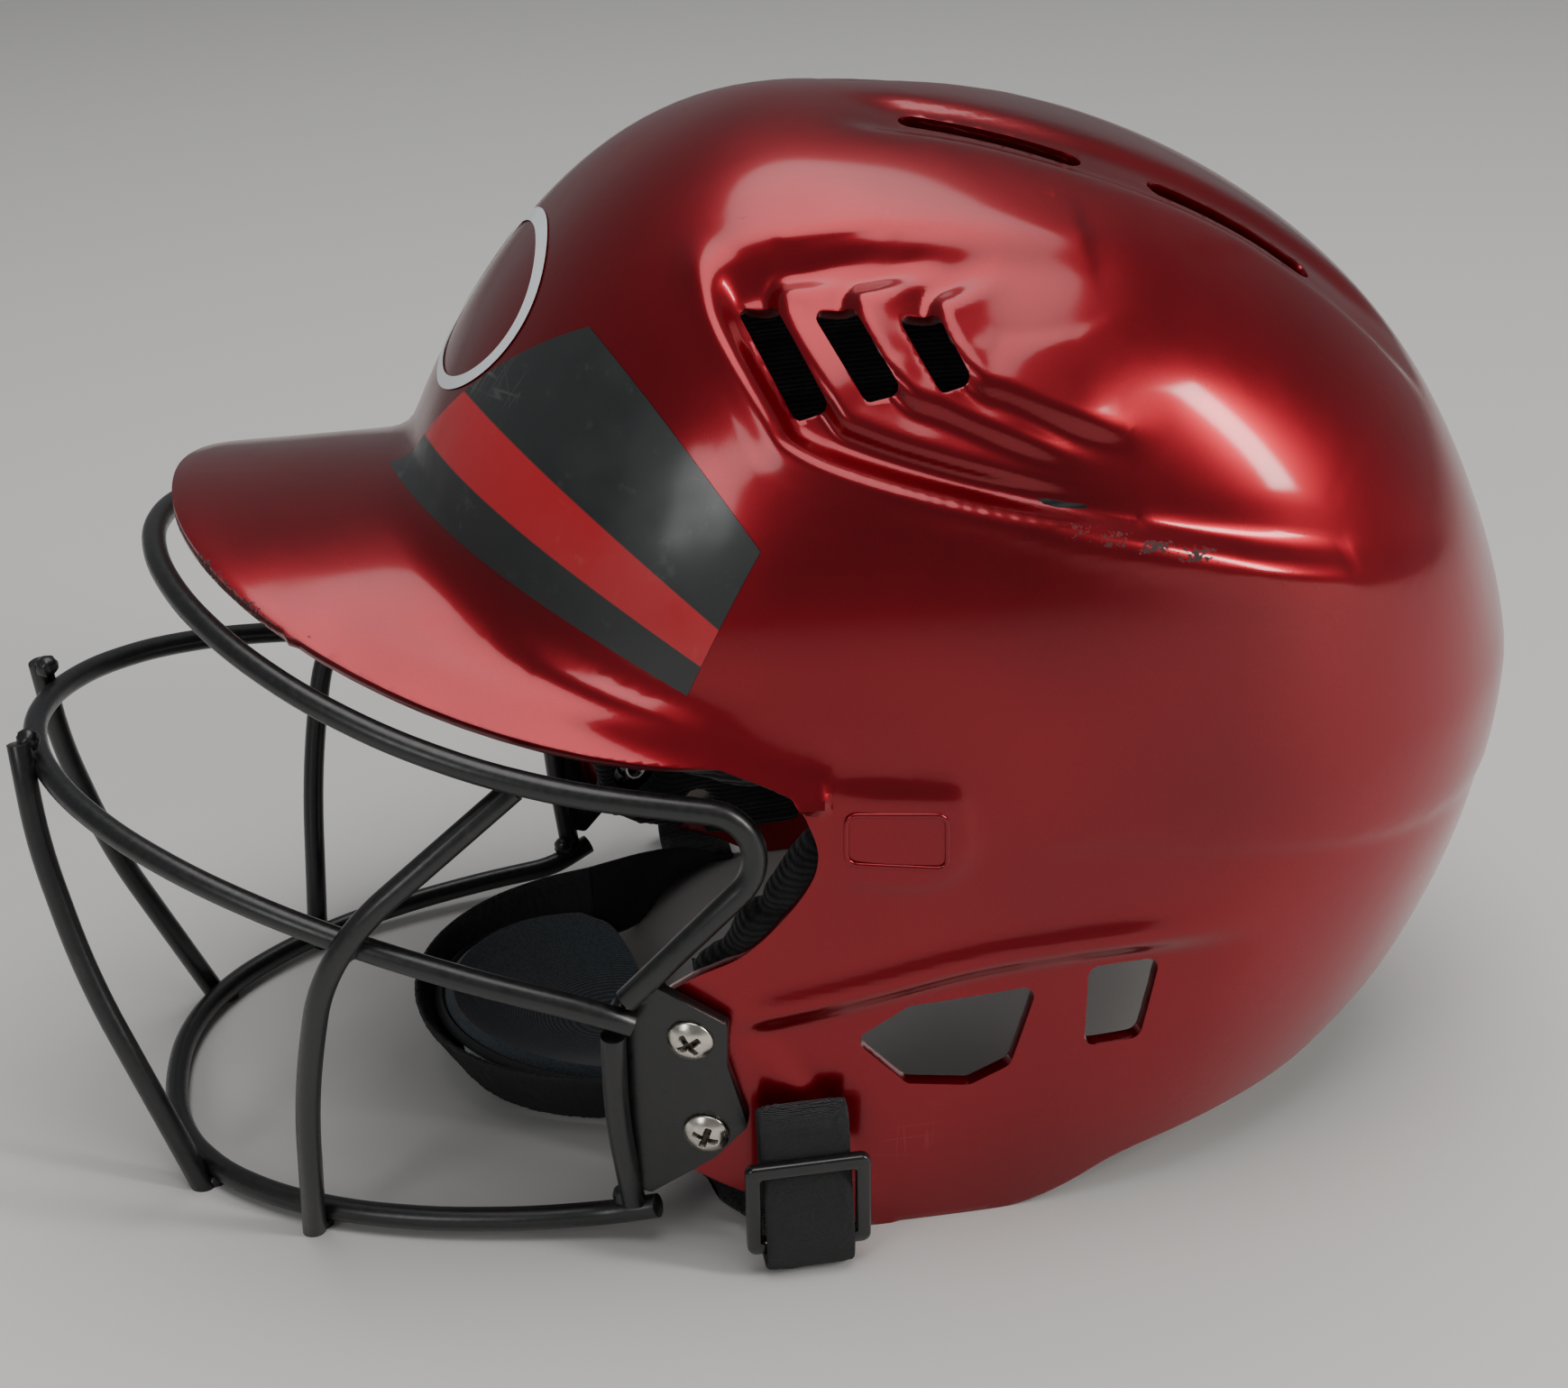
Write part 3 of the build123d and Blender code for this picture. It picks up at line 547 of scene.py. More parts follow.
def flapRelief(y, z):
    # The flap sinks below a ridge over the ear holes.
    gap, side, along = lineDistance(y, z, earRidge)
    fade = step(along, 0.0, 0.12) * (1 - step(along, 0.7, 1.0))
    sunk = np.where(side < 0, -step(gap, 0.0, 6.0) * fading(gap, detail["flapSink"]), 0.0)
    groove = np.where(side > 0, -step(gap, 0.0, 8.0) * fading(gap, detail["flapGroove"]), 0.0)
    return (sunk + crest(gap, detail["flapCrest"]) + groove) * fade * (z < 95)


def shellRelief(x, y, z, cut):
    # Height of the moulded detail above the plain shell, in millimetres.
    ax = np.abs(x)
    relief = scoopRelief(y, z) * step(ax, 34, 50) + flapRelief(y, z) * (ax > 40)
    # The raised boss behind the flap's upper corner, and the step of the rear crease.
    boss = outlineDistance(y, z, bossOutline)
    relief += detail["boss"] * (1 - step(boss, -0.8, 1.8)) * step(y, -16, 9) * (ax > 60)
    gap, side, along = lineDistance(y, z, rearCrease)
    below = (side < 0) * (ax > 5) * step(along, 0.0, 0.15)
    relief -= fading(gap, detail["rearStep"]) * step(gap, 0, 1.4) * below
    # Long channels over the crown, which hold the slots.
    gap, _, along = lineDistance(ax, y, channelLine)
    sunk = (1 - step(gap, *detail["channelWalls"])) * step(along, 0.0, 0.12) * (1 - step(along, 0.85, 1.0))
    relief -= detail["channel"] * sunk * step(z, 150, 170)
    # A rolled bead runs beside the bill's edge, with a groove inside it.
    bead = crest(cut + detail["beadPlace"], detail["bead"])
    bead -= crest(cut + detail["beadGroovePlace"], detail["beadGroove"])
    return relief + bead * step(-y, 18, 36) * (z > 108)


def wornness(x, y, z, cut):
    # Where the shell rubs: the bill's edge, the slits, and the crests of its ledges.
    ax = np.abs(x)
    edge = crest(cut + 1.0, (1.0, 2.2)) * ((y < -20) & (z > 108)) * (0.55 + 0.45 * step(-y, 60, 120))
    lowGap, _, along = lineDistance(y, z, scoopLower)
    ledge = crest(lowGap - 1.0, (1.0, 1.5)) * step(along, 0.3, 0.5) * (1 - step(along, 0.56, 0.74))
    for line in chevrons[1:]:
        gap, _, along = lineDistance(y, z, smoothCurve(line, 5))
        rubbed = crest(gap, (0.95, 1.5)) * step(along, 0.24, 0.34) * (1 - step(along, 0.5, 0.62))
        ledge = np.maximum(ledge, rubbed)
    gap, _, along = lineDistance(y, z, earRidge)
    ridge = crest(gap, (0.62, 2.4)) * step(along, 0.45, 0.6) * (ax > 60)
    rim = crest(cut + 0.8, (0.5, 1.4)) * ((z < 14) | (z > 150))
    return np.clip(np.maximum.reduce([edge, ledge * (ax > 50), ridge, rim]), 0, 1)


def vertexPlaces(bm):
    return np.array([v.co[:] for v in bm.verts])


def setPlaces(bm, places):
    for vert, place in zip(bm.verts, places):
        vert.co = place


def sentOut(bm, stand=0.0):
    # Where the vertices' rays from the centre meet the shell, and whether on its bill.
    centre = np.array(shell["centre"])
    rays = vertexPlaces(bm) - centre
    rays /= np.linalg.norm(rays, axis=1)[:, None]
    reach, onBill = shellRay(rays)
    return centre + rays * (reach + stand)[:, None], onBill


def placeOnShell(bm):
    # Sends every vertex out to the shell, and returns how far each lies past the edge.
    places, onBill = sentOut(bm)
    setPlaces(bm, places)
    return cutDistance(*places.T, onBill), places


def trimToEdge(bm, cut):
    # Cuts the mesh along the line where the distance is nought, and drops what lies beyond it.
    layer = bm.verts.layers.float.new("cut")
    for vert, value in zip(bm.verts, cut):
        vert[layer] = value
    for edge in list(bm.edges):
        a, b = edge.verts
        if a[layer] * b[layer] < 0:
            share = a[layer] / (a[layer] - b[layer])
            near = a if share < 0.28 else b if share > 0.72 else None
            if near is not None:
                near.co = a.co.lerp(b.co, share)
                near[layer] = 0.0
    for edge in list(bm.edges):
        a, b = edge.verts
        if a[layer] * b[layer] < 0:
            share = a[layer] / (a[layer] - b[layer])
            new = bmesh.utils.edge_split(edge, a, share)[1]
            new[layer] = 0.0
    for face in list(bm.faces):
        values = [v[layer] for v in face.verts]
        if min(values) < 0 < max(values):
            onLine = [v for v in face.verts if v[layer] == 0.0]
            for a in onLine:
                others = [b for b in onLine if b is not a and not any(b in e.verts for e in a.link_edges)]
                if others:
                    bmesh.utils.face_split(face, a, others[0])
                    break
    beyond = [f for f in bm.faces if sum(v[layer] for v in f.verts) > 0]
    bmesh.ops.delete(bm, geom=beyond, context="FACES")


def refine(bm, fine, test):
    # Halves the faces that have any, or all, of their corners among the fine ones.
    edges = {e for f in bm.faces if test(v in fine for v in f.verts) for e in f.edges}
    bmesh.ops.subdivide_edges(bm, edges=list(edges), cuts=1, use_grid_fill=True)


def evened(bm, values):
    # Values evened out between neighbours, so no crest beads along the grid.
    ends = np.array([[v.index for v in e.verts] for e in bm.edges])
    count = np.maximum(np.bincount(ends.ravel(), minlength=len(values)), 1)
    for _ in range(shell["evenings"]):
        total = np.bincount(ends[:, 0], values[ends[:, 1]], len(values))
        total += np.bincount(ends[:, 1], values[ends[:, 0]], len(values))
        values = 0.4 * values + 0.6 * total / count
    return values


def shellMesh():
    # A cube's grid sent out along rays, refined where the shell has detail, then trimmed and embossed.
    bm = bmesh.new()
    bmesh.ops.create_cube(bm, size=2)
    bmesh.ops.subdivide_edges(bm, edges=bm.edges, cuts=shell["cells"], use_grid_fill=True)
    centre = Vector(shell["centre"])
    for vert in bm.verts:
        vert.co = Vector([np.tan(c * pi / 4) for c in vert.co]).normalized() + centre
    cut, places = placeOnShell(bm)
    busy = (np.abs(cut) < 3.5) | (np.abs(shellRelief(*places.T, cut)) > 0.25)
    refine(bm, {v for v, wanted in zip(bm.verts, busy & (cut < 4)) if wanted}, any)
    cut, places = placeOnShell(bm)
    x, y, z = places.T
    nearSlits = (np.abs(x) > 40) & (y > -20) & (y < 62) & (z > 158) & (z < 212)
    refine(bm, {v for v, wanted in zip(bm.verts, nearSlits | (np.abs(cut) < 1.6)) if wanted}, all)
    cut, _ = placeOnShell(bm)
    trimToEdge(bm, cut)
    bm.normal_update()
    bm.verts.index_update()
    places = vertexPlaces(bm)
    cut = np.array([v[bm.verts.layers.float["cut"]] for v in bm.verts])
    relief = evened(bm, shellRelief(*places.T, cut))
    worn = wornness(*places.T, cut)
    wornLayer = bm.verts.layers.float.new("worn")
    normals = [v.normal.copy() for v in bm.verts]
    for vert, normal, lift, rub in zip(bm.verts, normals, relief, worn):
        vert.co += normal * float(lift)
        vert[wornLayer] = float(rub)
    return bm


def makePiece(bm, name, material, body="root", stands=(), scale=mm):
    # Turns a bmesh drawn in millimetres into a piece that rides on a body.
    if scale != 1:
        bmesh.ops.scale(bm, verts=bm.verts, vec=(scale,) * 3)
    mesh = bpy.data.meshes.new(name)
    bm.to_mesh(mesh)
    bm.free()
    mesh.shade_smooth()
    mesh.materials.append(material)
    piece = bpy.data.objects.new(name, mesh)
    link(piece)
    if body:
        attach(piece, body)
    if stands:
        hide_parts(*stands)
    return piece


def addWall(piece, wall):
    # A wall inside the drawn surface, in millimetres.
    solid = piece.modifiers.new("wall", "SOLIDIFY")
    solid.thickness, solid.offset = wall * mm, -1.0


def addBevel(piece, width, segments, angle):
    soften = piece.modifiers.new("soften", "BEVEL")
    soften.width, soften.segments = width, segments
    soften.limit_method, soften.angle_limit = "ANGLE", radians(angle)
    return soften


shellBm = shellMesh()
print("shell mesh has", len(shellBm.faces), "faces")
helmetShell = makePiece(shellBm, "helmetShell", red, stands=["shell"])
addWall(helmetShell, shell["wall"])
addBevel(helmetShell, 0.0007, 2, 55)
print("shell made")


def ontoDome(origins, way):
    # Where lines from the origins, all running the same way, meet the dome.
    ways = np.broadcast_to(np.array(way, float), origins.shape)
    return origins + ways * domeReach(origins, ways)[:, None]


def sheetMesh(columns, rows, place, closed=False):
    # A grid whose every vertex goes where place(u, v) says, with u and v from nought to one.
    bm = bmesh.new()
    bmesh.ops.create_grid(bm, x_segments=columns, y_segments=rows, size=0.5)
    uvLayer = bm.loops.layers.uv.new("UVMap")
    shares = {v: (v.co.x + 0.5, v.co.y + 0.5) for v in bm.verts}
    for face in bm.faces:
        for loop in face.loops:
            loop[uvLayer].uv = shares[loop.vert]
    for vert, (u, v) in shares.items():
        vert.co = place(u, v)
    if closed:
        bmesh.ops.remove_doubles(bm, verts=bm.verts, dist=1e-4)
        bmesh.ops.holes_fill(bm, edges=[e for e in bm.edges if e.is_boundary], sides=0)
    bmesh.ops.recalc_face_normals(bm, faces=bm.faces)
    return bm


def ribbonMesh(points, widths, halfWidth, halfWall, steps, pile, seed=1.0):
    # A flat band with rounded edges and a rough face along a route, lying on the ground at its lowest.
    # Widths gives its direction across at each point.
    route = smoothCurve(points, steps)
    across = smoothCurve(widths, steps)
    across /= np.linalg.norm(across, axis=1)[:, None]
    heading = np.gradient(route, axis=0)
    heading /= np.linalg.norm(heading, axis=1)[:, None]
    out = np.cross(heading, across)
    out /= np.linalg.norm(out, axis=1)[:, None]
    last = len(route) - 1

    def place(u, v):
        k = min(int(round(u * last)), last)
        turn = 2 * pi * v
        c, s = cos(turn), sin(turn)
        up = 1 if s > 0 else -1
        # Powers below one square the band's section.
        wide = halfWidth * abs(c) ** 0.35 * (1 if c > 0 else -1)
        thick = halfWall * abs(s) ** 0.7 * up
        spot = Vector(route[k] + across[k] * wide + out[k] * thick)
        if 0 < u < 1:
            spot += Vector(out[k]) * noise.noise(spot * 1.1 + Vector((seed, 0, 0))) * pile * up
        spot.z = max(spot.z, 0.1)
        return spot

    return sheetMesh(last, 64, place, closed=True)


def easedCopy(name, pieceName, material, width, angle=38):
    # A merged copy of a CAD piece with its edges eased.
    bm = bmesh.new()
    bm.from_mesh(nodes[name].data)
    bmesh.ops.remove_doubles(bm, verts=bm.verts, dist=2e-6)
    piece = makePiece(bm, pieceName, material, nodes[name]["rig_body"], stands=[name], scale=1)
    addBevel(piece, width, 2, angle).harden_normals = True


def joined(name):
    # A CAD name's words run together, each with a capital.
    return "".join(word.capitalize() for word in name.split("_"))


sides = {"left": 1, "right": -1}

wireKinds = ("top", "middle", "bottom", "front", "side", "end")
for name in [n for n in nodes if n.startswith("guard_") and n.split("_")[1] in wireKinds]:
    easedCopy(name, "wire" + joined(name[len("guard_"):]), guardBlack, 0.0006, angle=50)
for side in sides:
    easedCopy("guard_plate_" + side, "plate" + side.capitalize(), plateBlack, 0.0006)
    easedCopy("strap_slide_" + side, "slide" + side.capitalize(), slideBlack, 0.0007)
    easedCopy("guard_nuts_" + side, "nuts" + side.capitalize(), zinc, 0.0003)
print("wire, plates and slides eased")

welds = {
    "pairs": [("guard_front_bar", "guard_middle_bar"), ("guard_front_bar", "guard_bottom_bar"),
              ("guard_side_bar", "guard_top_bar"), ("guard_side_bar", "guard_middle_bar"),
              ("guard_side_bar", "guard_bottom_bar"), ("guard_end_bar", "guard_bottom_bar"),
              ("guard_plate", "guard_middle_bar"), ("guard_plate", "guard_top_bar")],
    "size": 0.0027, "roughness": 0.18,
}


def weldMesh():
    # A rough bead wherever two wires, or a wire and a plate, meet.
    bm = bmesh.new()
    for first, second in welds["pairs"]:
        for side in sides:
            a = nodes[f"{first}_{side}"].data.vertices
            b = nodes[second].data.vertices
            tree = kdtree.KDTree(len(b))
            for k, vert in enumerate(b):
                tree.insert(vert.co, k)
            tree.balance()
            near = sorted((tree.find(v.co)[2], k) for k, v in enumerate(a))[:6]
            spot = sum((a[k].co for _, k in near), Vector()) / len(near)
            spot.x = abs(spot.x) * sides[side]
            there = Matrix.Translation(spot)
            made = bmesh.ops.create_icosphere(bm, subdivisions=3, radius=welds["size"], matrix=there)
            for vert in made["verts"]:
                rough = noise.noise(vert.co * 900) * welds["roughness"]
                vert.co = spot + (vert.co - spot) * (1 + rough) * 0.95
                vert.co.z = max(vert.co.z, 0.0)
    return bm


makePiece(weldMesh(), "weldBeads", guardBlack, scale=1)

screws = {"places": [(-31.7, 55.9), (-29.3, 31.4)], "radius": 4.9, "height": 2.3, "shank": 2.0, "depth": 10.0,
          "crossLong": 2.9, "crossHalf": 0.42, "crossDepth": 1.7, "turns": (0.55, 1.2),
          # Where the crown, the rim and the neck end along the outline, as shares of it.
          "crown": 0.72, "rim": 0.8, "neck": 0.9}


def plateFace():
    # The outer face of the left plate: its middle and the way it looks.
    mesh = nodes["guard_plate_left"].data
    faces = [p for p in mesh.polygons if p.normal.x > 0.8]
    area = sum(p.area for p in faces)
    normal = sum((p.normal * p.area for p in faces), Vector()) / area
    centre = sum((p.center * p.area for p in faces), Vector()) / area
    return centre / mm, normal.normalized()


def screwMesh(sign):
    centre, normal = plateFace()
    whole = bmesh.new()
    for (y, z), turn in zip(screws["places"], screws["turns"]):
        x = centre.x - (normal.y * (y - centre.y) + normal.z * (z - centre.z)) / normal.x
        spot = Vector((x, y, z))
        up = (Vector((0, 0, 1)) - normal * normal.z).normalized()
        level = up.cross(normal)

        def recess(a, b):
            # How deep in the cross a place is, from 0 to 1.
            c, s = cos(turn), sin(turn)
            p, q = abs(a * c + b * s), abs(b * c - a * s)
            half, reach = screws["crossHalf"], screws["crossLong"]
            return max((1 - step(p, half, half + 0.35)) * (1 - step(q, reach - 0.5, reach)),
                       (1 - step(q, half, half + 0.35)) * (1 - step(p, reach - 0.5, reach)))

        def place(u, v):
            # u runs from the head's crown over its rim and down the shank, v round it.
            angle = 2 * pi * v + turn
            if u < screws["crown"]:
                share = u / screws["crown"]
                radius = screws["radius"] * share
                height = screws["height"] * (1 - 0.82 * share ** 2.6)
            elif u < screws["rim"]:
                radius, height = screws["radius"], 0.0
            elif u < screws["neck"]:
                radius, height = screws["shank"], -0.3
            else:
                radius = screws["shank"] * (1 - (u - screws["neck"]) * 9.99)
                height = -screws["depth"]
            a, b = radius * cos(angle), radius * sin(angle)
            if u < screws["crown"]:
                height -= recess(a, b) * screws["crossDepth"] * (1 - 0.45 * radius / screws["crossLong"])
            return spot + level * a + up * b + normal * height

        head = sheetMesh(44, 72, place, closed=True)
        # The cross's depth is stored as painted shade with some grime, which darkens the cross in the nickel
        # finish.
        recessShadeAndGrime = head.verts.layers.float.new("worn")
        for vert in head.verts:
            offset = vert.co - spot
            if offset.dot(normal) > 0.2:
                vert[recessShadeAndGrime] = float(recess(offset.dot(level), offset.dot(up)))
        mesh = bpy.data.meshes.new("screwPart")
        head.to_mesh(mesh)
        head.free()
        whole.from_mesh(mesh)
        bpy.data.meshes.remove(mesh)
    if sign < 0:
        bmesh.ops.scale(whole, verts=whole.verts, vec=(-1, 1, 1))
        bmesh.ops.reverse_faces(whole, faces=whole.faces)
    return whole


for side, sign in sides.items():
    makePiece(screwMesh(sign), "screws" + side.capitalize(), nickel, stands=["guard_screws_" + side])
print("screws and welds made")

pads = {"voxel": 0.0022, "rounds": 7, "swell": 0.0006, "channel": 0.0012, "channelHalf": 0.0016,
        "spacing": 0.0165, "puff": 0.0003, "fill": 0.7,
        # The ear pad's front edge, as heights and places along Y, swells forward by its lobe.
        "edgeZ": [60.0, 66.0, 72.0, 86.0, 100.0], "edgeY": [-37.0, -27.0, -15.0, -4.0, -1.0], "lobe": 0.009}


def padMesh(name):
    # The pad's block, rounded by remeshing and smoothing, then drawn in along sewn channels.
    block = bpy.data.objects.new("block", nodes[name].data.copy())
    bm = bmesh.new()
    bm.from_mesh(block.data)
    bmesh.ops.remove_doubles(bm, verts=bm.verts, dist=2e-6)
    bm.to_mesh(block.data)
    bm.free()
    link(block)
    remesh = block.modifiers.new("remesh", "REMESH")
    remesh.mode, remesh.voxel_size = "VOXEL", pads["voxel"]
    bpy.context.view_layer.update()
    made = bpy.data.meshes.new_from_object(block.evaluated_get(bpy.context.evaluated_depsgraph_get()))
    bpy.data.objects.remove(block)
    bm = bmesh.new()
    bm.from_mesh(made)
    bpy.data.meshes.remove(made)
    for _ in range(pads["rounds"]):
        bmesh.ops.smooth_vert(bm, verts=bm.verts, factor=0.5, use_axis_x=True, use_axis_y=True,
                              use_axis_z=True)
    if name.startswith("ear_pad"):
        for vert in bm.verts:
            z = vert.co.z / mm
            near = 1 - step(vert.co.y / mm - np.interp(z, pads["edgeZ"], pads["edgeY"]), 0.0, 12.0)
            high = sin(pi * min(max((z - pads["edgeZ"][0]) / 42.0, 0.0), 1.0))
            vert.co.y -= float(near) * high * pads["lobe"]
    bm.normal_update()
    for vert in bm.verts:
        x, y, z = vert.co
        along = z if abs(x) > 0.045 else x
        nearest = abs((along / pads["spacing"] + 0.5) % 1 - 0.5) * pads["spacing"]
        sewn = np.exp(-(nearest / pads["channelHalf"]) ** 2)
        puff = noise.noise(vert.co * 60) * pads["puff"]
        vert.co += vert.normal * (pads["swell"] + puff - pads["channel"] * float(sewn))
    return bm


for name in [n for n in nodes if "_pad" in n]:
    piece = makePiece(padMesh(name), "soft" + joined(name), padKnit, "root", [name], scale=1)
print("pads made")

cup = {"middle": (0.0, -42.0, 26.0), "side": 40.0, "front": 40.0, "depth": 20.2, "spread": 0.94, "rim": 0.93,
       "lowEnds": 0.09, "narrow": 0.07, "pinch": 0.05, "rearLip": 0.2,
       "liningWall": 2.8, "coverGap": 0.3, "coverWall": 2.2}


def cupPlace(s, t, grow=0.0, lip=0.0):
    # A place on the cup's inner face: s from -1 to 1 across it, t from its rear edge to its rim.
    cx, cy, cz = cup["middle"]
    angle = s * cup["spread"] * pi / 2
    t -= lip * (1 - t) * (1 - s ** 4)
    x = sin(angle) * (1 - cup["narrow"] * (1 - t))
    y = cos(angle) * t - cup["pinch"] * (1 - t)
    rho = min((x * x + y * y) ** 0.5, 1.0) * (cup["rim"] - cup["lowEnds"] * abs(s) ** 3)
    down = (1 - rho * rho) ** 0.5
    side, front, depth = cup["side"] + grow, cup["front"] + grow, cup["depth"] + grow
    return Vector((cx + side * x * cup["rim"], cy - front * y * cup["rim"], cz - depth * down))


def cupLayer(name, grow, wall, material, stands, lip=0.0):
    # One layer of the cup: a sheet that faces up into the cup, with its wall below it.
    bm = sheetMesh(72, 30, lambda u, v: cupPlace(2 * u - 1, v, grow, lip))
    if sum(f.normal.z for f in bm.faces) < 0:
        bmesh.ops.reverse_faces(bm, faces=bm.faces)
    layer = makePiece(bm, name, material, "chin_strap", stands=[stands])
    addWall(layer, wall)
    addBevel(layer, wall * 0.4 * mm, 3, 50)
    return layer


lining = cupLayer("cupLining", 0.0, cup["liningWall"], liningCloth, "chin_cup_liner",
                  cup["rearLip"])
coverGrow = cup["liningWall"] + cup["coverGap"]
cupLayer("cupCover", coverGrow, cup["coverWall"], cupBlack, "chin_cup")

strap = {
    "half": 9.5, "halfWall": 0.95, "pile": 0.35, "rootY": -10.0,
    # The left run from the flap to the cup, then round the outside of the cup to its front.
    "run": [(84.0, -10.0, 1.9), (76.0, -15.5, 3.4), (66.0, -22.5, 6.0), (55.0, -31.5, 9.6),
            (46.0, -42.0, 12.2)],
    "runAcross": [(0.0, 1.0, 0.0), (0.12, 0.9, 0.3), (0.3, 0.45, 0.75), (0.42, 0.12, 0.9), (0.5, 0.0, 0.86)],
    "band": [(46.0, -42.0, 12.2), (43.0, -54.0, 12.0), (36.6, -66.0, 11.8), (26.4, -75.6, 11.6),
             (13.8, -81.4, 11.5), (0.0, -83.2, 11.5)],
    "bandLean": (0.5, 0.86),
    # The folded end on the flap, as places (x, z); its outer stretch fits the CAD piece it stands for.
    "loop": [(84.0, 1.2), (93.0, 1.1), (97.6, 2.4), (99.6, 6.4), (100.0, 12.0), (99.4, 19.0), (98.0, 26.0),
             (98.0, 33.0), (97.2, 37.2), (94.6, 38.6), (92.2, 36.6), (91.9, 30.0), (91.4, 22.0),
             (90.6, 12.5)],
    "loopHalf": 9.3, "loopHalfWall": 0.9, "loopPile": 0.3, "loopReach": 101.0,
}


def mirrored(points, sign):
    return [(sign * x, y, z) for x, y, z in points]


band = strap["band"] + mirrored(strap["band"][-2::-1], -1)
leanOut, leanUp = strap["bandLean"]
bandAcross = []
for x, y, _ in band:
    out = Vector((x, y - cup["middle"][1], 0)).normalized()
    bandAcross.append(tuple(out * leanOut + Vector((0, 0, leanUp))))
cupBand = ribbonMesh(band, bandAcross, strap["half"], strap["halfWall"], 24, strap["pile"])
makePiece(cupBand, "cupBand", webbing, "chin_strap")
for side, sign in sides.items():
    run, across = mirrored(strap["run"], sign), mirrored(strap["runAcross"], sign)
    bm = ribbonMesh(run, across, strap["half"], strap["halfWall"], 18, strap["pile"], seed=4.0 + sign)
    piece = makePiece(bm, "chinWebbing" + side.capitalize(), webbing, None, ["chin_strap_" + side])
    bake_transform(piece, "root", "chin_strap", start=(sign * 0.083, -0.010, 0.0016),
             end=(sign * 0.066, -0.010, 0.0016))
    low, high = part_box("strap_tongue_" + side)
    shift = max(abs(low.x), abs(high.x)) / mm - strap["loopReach"]
    loop = [(sign * (x + (shift if x > 90 else 0)), strap["rootY"], z) for x, z in strap["loop"]]
    bm = ribbonMesh(loop, [(0, 1, 0)] * len(loop), strap["loopHalf"], strap["loopHalfWall"], 9,
                    strap["loopPile"], seed=9.0 + sign)
    makePiece(bm, "strapLoop" + side.capitalize(), webbing, "root", ["strap_tongue_" + side])
print("cup and webbing made")

# A plain sticker of three bands, wrapped on the left front of the shell.
sticker = {"corners": [(49.6, -37.9, 192.2), (89.6, -11.4, 157.0), (90.6, -27.5, 129.9), (3.2, -78.1, 151.1)],
           "bow": 2.5, "stand": 0.22, "band": (0.2, 0.46),
           "black": (0.018, 0.02, 0.02, 1), "red": (0.48, 0.012, 0.02, 1)}


def wrapped(bm, stand):
    # Sends a drawn patch out along rays onto the shell.
    setPlaces(bm, sentOut(bm, stand)[0])
    bmesh.ops.recalc_face_normals(bm, faces=bm.faces)
    centre = Vector(shell["centre"])
    face = next(iter(bm.faces))
    if face.normal.dot(face.calc_center_median() - centre) < 0:
        bmesh.ops.reverse_faces(bm, faces=bm.faces)
    return bm


def stickerMesh():
    a, b, c, d = (Vector(p) for p in sticker["corners"])

    def place(u, v):
        spot = d.lerp(c, u).lerp(a.lerp(b, u), v)
        return spot - Vector((0, 0, sticker["bow"] * sin(pi * u) * (1 - v)))

    return wrapped(sheetMesh(80, 60, place), sticker["stand"])


def makeSticker():
    material, t, shader = newMaterial("stickerPrint", Coat_Weight=0.4, Coat_Roughness=0.15)
    place = t.objectPlace()
    uv = t.add("ShaderNodeTexCoord").outputs["UV"]
    v = t.add("ShaderNodeSeparateXYZ", {0: uv}).outputs["Y"]
    low, high = sticker["band"]
    inBand = t.math("MULTIPLY", t.mapRange(v, low, low + 0.007), t.mapRange(v, high, high - 0.007))
    scuffed = t.group(scratches, Size=12.0, Amount=0.35)
    dusty = t.group(dust, Size=160.0, Amount=0.5)
    colour = t.mix(inBand, sticker["black"], sticker["red"])
    colour = t.mix(t.math("MULTIPLY", scuffed, 0.25), colour, (0.4, 0.4, 0.4, 1))
    colour = t.mix(t.math("MULTIPLY", dusty, 0.12), colour, (0.4, 0.38, 0.36, 1))
    t.feed(shader, Base_Color=colour, Normal=t.bump(t.noise(place, 60.0, 3.0), 0.15, 0.0003),
           Roughness=t.mapRange(t.noise(place, 90.0, 4.0), 0.3, 0.7, 0.28, 0.5))
    return material


makePiece(stickerMesh(), "plainSticker", makeSticker())

# A plain painted ring on the front.
ring = {"middleZ": 186.5, "halfWidth": 31.0, "halfHeight": 15.5, "line": 3.6, "stand": 0.3}


def ringMesh():
    def place(u, v):
        turn = 2 * pi * u
        grow = (v - 0.5) * ring["line"]
        x = (ring["halfWidth"] + grow) * cos(turn)
        z = ring["middleZ"] + (ring["halfHeight"] + grow * 0.7) * sin(turn)
        return Vector((x, shell["topY"], z))

    bm = sheetMesh(128, 3, place)
    bmesh.ops.remove_doubles(bm, verts=bm.verts, dist=1e-4)
    setPlaces(bm, ontoDome(vertexPlaces(bm), (0, -1, 0)))
    return wrapped(bm, ring["stand"])


def makeWhitePaint():
    material, t, shader = newMaterial("whitePaint", Coat_Weight=0.3)
    dusty = t.group(dust, Size=200.0, Amount=0.5)
    colour = t.mix(t.math("MULTIPLY", dusty, 0.4), (0.78, 0.8, 0.82, 1), (0.45, 0.42, 0.4, 1))
    rough = t.mapRange(t.noise(t.objectPlace(), 150.0, 4.0), 0.3, 0.7, 0.32, 0.52)
    t.feed(shader, Base_Color=colour, Roughness=rough)
    return material


makePiece(ringMesh(), "frontRing", makeWhitePaint())

# The moulded frame on each side boss: a thin raised bead round a bare field.
frameBead = {"corners": [(1.0, 106.2), (20.6, 104.8), (20.4, 93.0), (0.6, 95.6)], "corner": 2.4,
             "bead": 0.55}


def beadPath():
    corners = [Vector(c) for c in frameBead["corners"]]
    path = []
    for k, here in enumerate(corners):
        before, after = corners[k - 1], corners[(k + 1) % len(corners)]
        a = here + (before - here).normalized() * frameBead["corner"]
        b = here + (after - here).normalized() * frameBead["corner"]
        for s in np.linspace(0, 1, 7):
            path.append(a.lerp(here, s).lerp(here.lerp(b, s), s))
    return path


